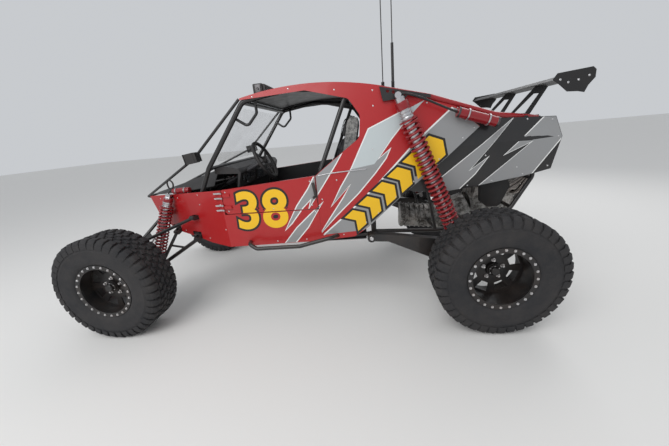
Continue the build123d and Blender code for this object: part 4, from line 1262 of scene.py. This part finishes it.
bar_place = car(1755, 0, 1905)
cells = cell_grid(12, 1, 0.53, 0.052, 0.014)
cells.location = bar_place + Vector((0.0415, 0, 0))
finish_piece(cells, "roof_lamp_cells", "lamp_lens")
frame_top = [
    box_at(bar_place + Vector((0.038, 0, step)), (0.012, 0.552, 0.010)) for step in (-0.033, 0.033)]
frame_end = [
    box_at(bar_place + Vector((0.038, step, 0)), (0.012, 0.010, 0.076)) for step in (-0.275, 0.275)]
bezel = join(frame_top + frame_end)
bevel(bezel, 0.002)
finish_piece(bezel, "roof_lamp_bezel", "lamp_black")
back = fins(34, 0.54, 0.070, 0.022)
back.location = bar_place + Vector((-0.034, 0, 0))
finish_piece(back, "roof_lamp_fins", "lamp_black", smooth=0)
ends = []
for sign in (-1, 1):
    plate = box_at(bar_place + Vector((0, sign * 0.284, -0.022)), (0.050, 0.006, 0.110))
    bevel(plate, 0.003)
    bolt = bolt_head(0.008, 0.008)
    ends += [plate, bring(bolt, bar_place + Vector((0, sign * 0.287, 0)), sign < 0)]
finish_piece(join(ends), "roof_lamp_brackets", "black_bolt")

for side, sign in SIDES:
    place = car(2262, sign * 655, 1395)
    pod = cell_grid(2, 2, 0.066, 0.066, 0.016)
    pod.rotation_euler = POD_TURN
    pod.location = place + Vector((0.0405, 0, -0.006))
    finish_piece(pod, f"pillar_lamp_cells_{side}", "lamp_lens")
    rim_parts = [box_at((0.040, 0, step), (0.010, 0.080, 0.008)) for step in (0.036, -0.036)]
    rim_parts += [box_at((0.040, step, 0), (0.010, 0.008, 0.080)) for step in (0.036, -0.036)]
    back = fins(9, 0.076, 0.072, 0.024)
    back.location = (-0.036, 0, 0)
    rim_parts.append(back)
    rim_whole = join(rim_parts)
    rim_whole.rotation_euler = POD_TURN
    rim_whole.location = place
    finish_piece(rim_whole, f"pillar_lamp_case_{side}", "lamp_black", smooth=0)
print("lamps finished")

# %% [markdown]
# Each seat's shell keeps its CAD solid, in mottled grey. On it lie three padded pieces.
# Each is a block that is remeshed and blown up by the Cloth modifier's pressure, with its
# underside pinned flat. The sewn channels are pressed in afterwards, so that they stay sharp.

# %% Seat pads
SEAT_Y = 0.290
PAD_THICK, PAD_VOXEL, PAD_LIFT, PAD_CAP = 0.036, 0.006, 0.014, 0.022
PIN_DEPTH, PRESSURE, CLOTH_FRAMES = 0.008, 4, 20
SEAM_WIDTH, SEAM_DEPTH, SEAM_INSET, SEAM_SPARE = 0.006, 0.0075, 0.030, 0.004
# Ends in side view in millimetres, then the width and the channels' places in metres
PADS = {
    "back": ((1036, 1440), (1154, 862), 0.284, (-0.19, -0.095, 0.0, 0.095, 0.19)),
    "base": ((1242, 792), (1496, 828), 0.284, (-0.065, 0.0, 0.065)),
    "head": ((1012, 1552), (1032, 1456), 0.220, ()),
}


def swell(obj, cap):
    """Blow up a closed shape like a stuffed pad, no point further than the cap."""
    before = [vertex.co.copy() for vertex in obj.data.vertices]
    floor_group = obj.vertex_groups.new(name="resting")
    pin_z = min(place.z for place in before) + PIN_DEPTH
    floor_group.add([i for i, place in enumerate(before) if place.z < pin_z], 1.0, "REPLACE")
    cloth = obj.modifiers.new("cloth", "CLOTH")
    cloth.settings.use_pressure = True
    cloth.settings.uniform_pressure_force = PRESSURE
    cloth.settings.effector_weights.gravity = 0
    cloth.settings.vertex_group_mass = "resting"
    cloth.point_cache.frame_end = CLOTH_FRAMES
    for frame_number in range(1, CLOTH_FRAMES + 1):
        bpy.context.scene.frame_set(frame_number)
    pick(obj)
    bpy.ops.object.modifier_apply(modifier="cloth")
    for vertex, place in zip(obj.data.vertices, before):
        move = vertex.co - place
        if move.length > cap:
            vertex.co = place + move * (cap / move.length)
    obj.vertex_groups.clear()
    bpy.context.scene.frame_set(1)


def press_seams(obj, length, width, channels):
    """Sew one line inside the pad's border, and channels across the pad up to that line."""
    upper = [vertex.index for vertex in obj.data.vertices if vertex.normal.z > 0.1]
    for index in upper:
        place = obj.data.vertices[index].co
        border = min(length / 2 - abs(place.x), width / 2 - abs(place.y)) - SEAM_INSET
        inside = border > -SEAM_SPARE
        lines = [border] + [place.x - spot for spot in channels if inside]
        dent = max(exp(-(gap / SEAM_WIDTH) ** 2) for gap in lines)
        place.z -= SEAM_DEPTH * dent


def seat_pad(name):
    """One pad, modelled flat at the origin and then laid on the seat."""
    head, foot, width, channels = PADS[name]
    start, stop = car(head[0], 0, head[1]), car(foot[0], 0, foot[1])
    run = stop - start
    length = run.length
    block = box_at((0, 0, 0), (length, width, PAD_THICK))
    bevel(block, 0.012, 3)
    modify(block, "REMESH", mode="VOXEL", voxel_size=PAD_VOXEL)
    swell(block, PAD_CAP)
    modify(block, "SUBSURF", levels=1, render_levels=1)
    press_seams(block, length, width, channels)
    up_pad = Vector((-run.z, 0, run.x)).normalized()
    turn = Matrix((run.normalized(), (0, 1, 0), up_pad)).transposed().to_4x4()
    block.matrix_world = Matrix.Translation((start + stop) / 2 + up_pad * PAD_LIFT) @ turn
    apply_place(block)
    return block


for name in PADS:
    model = seat_pad(name)
    for side, sign in SIDES:
        made = bring(copy_of(model), (0, sign * SEAT_Y, 0))
        finish_piece(made, f"seat_{name}_pad_{side}", "seat_side", smooth=60)
    bpy.data.objects.remove(model)
print("seat pads", len(PADS), "on each seat")

# %% [markdown]
# The harness is flat webbing: a ribbon of faces along given points, thickened by
# Solidify. Two shoulder straps and two lap straps meet at a round buckle.

# %% Harness
WEBBING_WIDTH = 0.048
BUCKLE_OUT = Vector((0.55, 0, 0.83))
SHOULDER_STRAP = (
    (930, 90, 1545), (948, 90, 1603), (988, 88, 1616), (1034, 84, 1585), (1060, 78, 1530),
    (1082, 74, 1440), (1122, 70, 1250), (1166, 62, 1050), (1218, 46, 930), (1262, 26, 882))
LAP_STRAP = (
    (1262, 24, 876), (1262, 80, 884), (1250, 128, 880), (1236, 150, 868), (1218, 153, 845))


def ribbon(points, across, width, thick=0.003):
    """Flat strap through the points, as wide as width along the across direction."""
    half = Vector(across).normalized() * width / 2
    rows = [(point - half, point + half) for point in points]
    mesh = bpy.data.meshes.new("strap")
    mesh.from_pydata(
        [corner for row in rows for corner in row], [],
        [(2 * i, 2 * i + 1, 2 * i + 3, 2 * i + 2) for i in range(len(rows) - 1)])
    obj = bpy.data.objects.new("strap", mesh)
    bpy.context.collection.objects.link(obj)
    modify(obj, "SOLIDIFY", thickness=thick, offset=0)
    modify(obj, "BEVEL", width=thick * 0.3, segments=1)
    modify(obj, "SUBSURF", levels=1, render_levels=1)
    outward(obj)
    return obj


for side, sign in SIDES:
    middle = sign * SEAT_Y / MM
    straps, metal_parts = [], []
    for hand in (-1, 1):
        for route, across in ((SHOULDER_STRAP, (0, 1, 0)), (LAP_STRAP, (0.5, 0, 0.86))):
            points = [car(x, middle + hand * y, z) for x, y, z in route]
            straps.append(ribbon(points, across, WEBBING_WIDTH))
        clip = box_at(car(1131, middle + hand * 69, 1212), (0.010, 0.060, 0.038), (0, -12, 0))
        bevel(clip, 0.003)
        metal_parts.append(clip)
    finish_piece(join(straps), f"harness_{side}", "harness_webbing", smooth=50)
    hub = car(1268, middle, 880)
    buckle = bar_between(hub, hub + BUCKLE_OUT * 0.024, 0.031, 32)
    bevel(buckle, 0.005)
    latch = bar_between(hub + BUCKLE_OUT * 0.024, hub + BUCKLE_OUT * 0.032, 0.014, 24)
    finish_piece(join([buckle, latch] + metal_parts), f"harness_buckle_{side}", "dark_steel")
print("harness on both seats")

# %% [markdown]
# The cockpit's small parts sit on the dash panel: round gauges with a marked face, a flat
# display and a row of toggles. A horn button with its ring of screws sits on the wheel.

# %% Cockpit details
PANEL_OUT = Vector((-0.96, 0, -0.28))
PANEL_TOP_X, PANEL_TOP_Z, PANEL_LEAN = 1925, 1240, 35 / 120
GAUGES = ((380, 1183, 0.045), (292, 1196, 0.028), (468, 1196, 0.028), (236, 1192, 0.022))


def dash_place(y, z):
    """Place on the rear face of the dash panel."""
    return car(PANEL_TOP_X + PANEL_LEAN * (PANEL_TOP_Z - z), y, z)


rims_of_gauges, faces = [], []
for y, z, radius in GAUGES:
    seat_place = dash_place(y, z)
    housing = bar_between(seat_place - PANEL_OUT * 0.004, seat_place + PANEL_OUT * 0.010, radius, 40)
    with editing_where(housing, lambda middle, normal: normal.dot(PANEL_OUT) > 0.9):
        bpy.ops.mesh.inset(thickness=0.004, depth=-0.004)
    rims_of_gauges.append(housing)
    faces.append(bar_between(
        seat_place + PANEL_OUT * 0.003, seat_place + PANEL_OUT * 0.0072, radius - 0.0045, 40))
display = box_at(dash_place(60, 1180) + PANEL_OUT * 0.004, (0.014, 0.190, 0.100), (0, -16, 0))
bevel(display, 0.004)
screen = box_at(dash_place(60, 1180) + PANEL_OUT * 0.0108, (0.002, 0.172, 0.082), (0, -16, 0))
finish_piece(join(rims_of_gauges + [display]), "gauges", "lamp_black")
finish_piece(join(faces + [screen]), "gauge_faces", "gauge_face")
toggles = []
for index in range(7):
    spot = dash_place(-90 - index * 32, 1192)
    toggles.append(bar_between(spot, spot + PANEL_OUT * 0.006, 0.007, 6))
    toggles.append(bar_between(
        spot + PANEL_OUT * 0.005, spot + PANEL_OUT * 0.022 + Vector((0, 0, 0.006)), 0.0026, 10))
finish_piece(join(toggles), "toggles", "machined_steel")

WHEEL_OUT = Vector((-0.905, 0, 0.426)).normalized()
wheel_hub = car(1754, 380, 1319)
screws = ring_of_heads(0.030, 6, 0.0035, 0.003, 0.0)
button = spun([
    (0.0005, 0.010), (0.012, 0.009), (0.018, 0.004), (0.019, -0.002), (0.0005, -0.002)], 32, "button")
boss = join([screws, button])
boss.matrix_world = aimed(wheel_hub + WHEEL_OUT * 0.010, WHEEL_OUT, "Y", "Z")
finish_piece(boss, "horn_button", "black_bolt", "steering_wheel")
print("gauges", len(faces), "toggles", len(toggles) // 2)

# %% [markdown]
# The engine bay is open at the back, so the plain engine gets its intake runners, exhaust
# pipes and pulleys. Their belt follows the outline that closes round all the pulleys.

# %% Engine dressing
BELT_X, BELT_POINTS = -478, 40
PULLEYS = ((0, 742, 0.078), (150, 880, 0.034), (-145, 872, 0.040), (20, 905, 0.050))


def round_all(circles, spare):
    """Outline that a belt takes round circles in the Y-Z plane, spare outside them.

    Points are set on every circle in order of Y, and a point that makes a hollow is dropped,
    once along the belt's one side and once back along its other.
    """
    step = 2 * pi / BELT_POINTS
    points = sorted({
        (round(y * MM + (r + spare) * cos(a * step), 5),
         round(z * MM + (r + spare) * sin(a * step), 5))
        for y, z, r in circles for a in range(BELT_POINTS)})
    chains = []
    for ordered in (points, points[::-1]):
        chain = []
        for point in ordered:
            while len(chain) > 1 and (
                    (chain[-1][0] - chain[-2][0]) * (point[1] - chain[-2][1])
                    - (chain[-1][1] - chain[-2][1]) * (point[0] - chain[-2][0])) <= 0:
                chain.pop()
            chain.append(point)
        chains += chain[:-1]
    return chains


belt_line = round_all(PULLEYS, 0.002)
belt_x = car(BELT_X, 0, 0).x
belt_points = [Vector((belt_x, y, z)) for y, z in belt_line + belt_line[:1]]
finish_piece(ribbon(belt_points, (1, 0, 0), 0.022, 0.004), "engine_belt", "hose_black")
pulleys = []
for y, z, radius in PULLEYS:
    disc = spun([
        (0.008, 0.006), (radius * 0.35, 0.006), (radius * 0.42, 0.0), (radius * 0.8, 0.0),
        (radius * 0.86, 0.013), (radius, 0.013), (radius, -0.013), (0.008, -0.013),
        (0.008, 0.006)], 40, "pulley")
    disc.matrix_world = Matrix.Translation(car(BELT_X, y, z)) @ Matrix.Rotation(pi / 2, 4, "Z")
    apply_place(disc)
    shaft = bar_between(car(BELT_X - 14, y, z), car(BELT_X + 22, y, z), 0.010)
    pulleys += [disc, shaft]
finish_piece(join(pulleys), "engine_pulleys", "dark_steel")

PORTS_X = (-170, -280, -390)
RUNNER = ((105, 1098), (150, 1108), (186, 1112), (206, 1080), (196, 1030))
for side, sign in SIDES:
    for x in PORTS_X:
        runner = [car(x, sign * y, z) for y, z in RUNNER]
        tube_along(runner, 0.019, f"intake_runner_{side}_{-x}", "cast_aluminium", sides=5)
        pipe = (
            (x, 168, 874), (x, 262, 850), (x - 30, 292, 880), ((x - 520) / 2, 296, 930),
            (-492, 280, 1030), (-512, 262, 1120), (-515, 250, 1195))
        route = [car(u, sign * y, z) for u, y, z in pipe]
        tube_along(route, 0.018, f"exhaust_pipe_{side}_{-x}", "muffler_steel", sides=5)
print("belt points", len(belt_line), "pulleys", len(PULLEYS))

# %% [markdown]
# The gearbox is a row of plain drums in the CAD. Cast flanges with their bolts mark the
# joints, ribs stiffen the case, and ribbed covers close the cylinder heads.

# %% Gearbox flanges and head covers
# Place along the car and height in millimetres, radius and width in metres, bolts
FLANGES = (
    (60, 592, 0.203, 0.026, 18), (-84, 640, 0.200, 0.020, 18), (146, 600, 0.162, 0.020, 14))
BANK_X, BANK_Y, BANK_Z, BANK_ANGLE = -280, 130, 930, 30


def flange(x, z, radius, width, bolts=0):
    """Cast ring round an axis along the car, with bolts if any."""
    half = width / 2
    ring = spun([
        (radius - 0.014, -half), (radius - 0.002, -half), (radius, 0.002 - half),
        (radius, half - 0.002), (radius - 0.002, half), (radius - 0.014, half),
        (radius - 0.014, -half)], 56, "flange")
    if bolts:
        ring = join([ring, ring_of_heads(radius - 0.009, bolts, 0.0065, 0.008, half)])
    ring.matrix_world = Matrix.Translation(car(x, 0, z)) @ Matrix.Rotation(pi / 2, 4, "Z")
    apply_place(ring)
    return ring


def case_z(x):
    """Height of the gearbox's axis, which rises towards its nose."""
    return 600 + 40 * (x - 140) / 420


cast = [flange(*row) for row in FLANGES]
cast += [flange(x, case_z(x), 0.124, 0.009) for x in range(190, 540, 46)]
cast.append(flange(552, case_z(552), 0.126, 0.018, 12))
finish_piece(join(cast), "gearbox_flanges", "cast_aluminium")

covers, cover_bolts = [], []
for side, sign in SIDES:
    bank_turn = Matrix.Rotation(radians(-BANK_ANGLE * sign), 4, "X")
    lean = Matrix.Translation(car(BANK_X, sign * BANK_Y, BANK_Z)) @ bank_turn
    parts = [box_at((0, 0, 0.120), (0.346, 0.122, 0.034))]
    bevel(parts[0], 0.010, 3)
    parts += [
        box_at((0, across, 0.139), (0.300, 0.007, 0.008)) for across in (-0.03, -0.01, 0.01, 0.03)]
    cover = join(parts)
    cover.matrix_world = lean
    apply_place(cover)
    covers.append(cover)
    up_cover = (lean.to_3x3() @ Vector((0, 0, 1))).normalized()
    cover_bolts += [
        (lean @ Vector((along_x, across, 0.136)), up_cover)
        for along_x in (-0.155, 0.0, 0.155) for across in (-0.048, 0.048)]
finish_piece(join(covers), "head_covers", "dark_steel")
screw_heads(cover_bolts, 0.0075, "head_cover_bolts")
print("gearbox rings", len(cast))

# %% [markdown]
# The cooler's two fans pull through its lower face. A blade is one thin plate, set at an
# angle to the hub's axis and copied round the hub by the array.

# %% Cooler fans
COOLER_PLACE, COOLER_TILT = (500, 0, 1204), radians(-25)
FAN_Y, FAN_DROP, FAN_BLADES, BLADE_ANGLE = 0.152, 0.031, 7, 24
fans = []
for sign in (-1, 1):
    shroud = spun([
        (0.140, 0.0), (0.146, 0.0), (0.146, -0.040), (0.140, -0.040), (0.140, 0.0)], 48, "shroud")
    hub = spun([(0.0005, -0.036), (0.036, -0.034), (0.040, -0.012), (0.0005, -0.010)], 32, "fan_hub")
    blade = box_at((0, -0.022, 0.088), (0.052, 0.003, 0.098), (0, 0, BLADE_ANGLE))
    ring_array(blade, FAN_BLADES)
    strut = box_at((0, -0.0385, 0), (0.290, 0.004, 0.016))
    cross = box_at((0, -0.0385, 0), (0.016, 0.004, 0.290))
    fan = join([shroud, hub, blade, strut, cross])
    fan.matrix_world = (
        Matrix.Translation(car(*COOLER_PLACE)) @ Matrix.Rotation(COOLER_TILT, 4, "Y")
        @ Matrix.Translation((0, sign * FAN_Y, -FAN_DROP)) @ Matrix.Rotation(pi / 2, 4, "X"))
    apply_place(fan)
    fans.append(fan)
whole = join(fans)
outward(whole)
finish_piece(whole, "cooler_fans", "lamp_black")
print("cooler fans", len(fans))

# %% [markdown]
# What is left is small: pivot bolts on the trailing arms, black shields over the exhaust
# pipes below the tail, bolts through the wing's end plates, and aerial springs and tips.

# %% Bolts, exhaust shields and aerials
PIVOT_X, PIVOT_Y, PIVOT_Z, PIVOT_HEAD = 865, 728, 668, 0.016
heads = []
for side, sign in SIDES:
    head = bolt_head(PIVOT_HEAD, PIVOT_HEAD)
    heads.append(bring(head, car(PIVOT_X, sign * PIVOT_Y, PIVOT_Z), side == "right"))
finish_piece(join(heads), "arm_pivot_bolts", "bolt_steel")

SHIELD = [(-81, 950), (-313, 994), (-330, 930), (-262, 772), (-236, 756), (-152, 760), (-88, 815)]
SHIELD_Y, SHIELD_DEPTH = 335, 0.045
for side, sign in SIDES:
    shield = flat_shape(SHIELD, side)
    modify(shield, "SOLIDIFY", thickness=SHIELD_DEPTH, offset=-1)
    shield.location.y = sign * (SHIELD_Y - BESIDE_CAR) * MM
    bevel(shield, 0.008, 3)
    outward(shield)
    finish_piece(shield, f"exhaust_shield_{side}", "satin_black")

PLATE_BOLTS = ((-560, 1700), (-500, 1680), (-440, 1670), (-390, 1690))
plate_bolts = []
for side, sign in SIDES:
    for x, z in PLATE_BOLTS:
        start = car(x, sign * 1100, z)
        hit, place, normal, _ = nodes["rear_wing"].ray_cast(start, Vector((0, -sign, 0)))
        assert hit, (x, z)
        plate_bolts.append((place, normal))
screw_heads(plate_bolts, 0.0075, "wing_bolts")

AERIALS, AERIAL_Y = ((707, 1790, 2900), (627, 1790, 2760)), 300
aerials = []
for x, low, high in AERIALS:
    spring = coil(0.0045, 0.0115, 0.0062, 9)
    spring.location = car(x, AERIAL_Y, low)
    apply_place(spring)
    tip = spun([
        (0.0005, 0.0), (0.004, -0.002), (0.0045, -0.010), (0.0025, -0.016),
        (0.0005, -0.016)], 16, "tip")
    tip.matrix_world = Matrix.Translation(car(x, AERIAL_Y, high)) @ Matrix.Rotation(pi / 2, 4, "X")
    apply_place(tip)
    aerials += [spring, tip]
whole = join(aerials)
outward(whole)
finish_piece(whole, "aerial_fittings", "antenna_black")
print("wing bolts", len(plate_bolts))
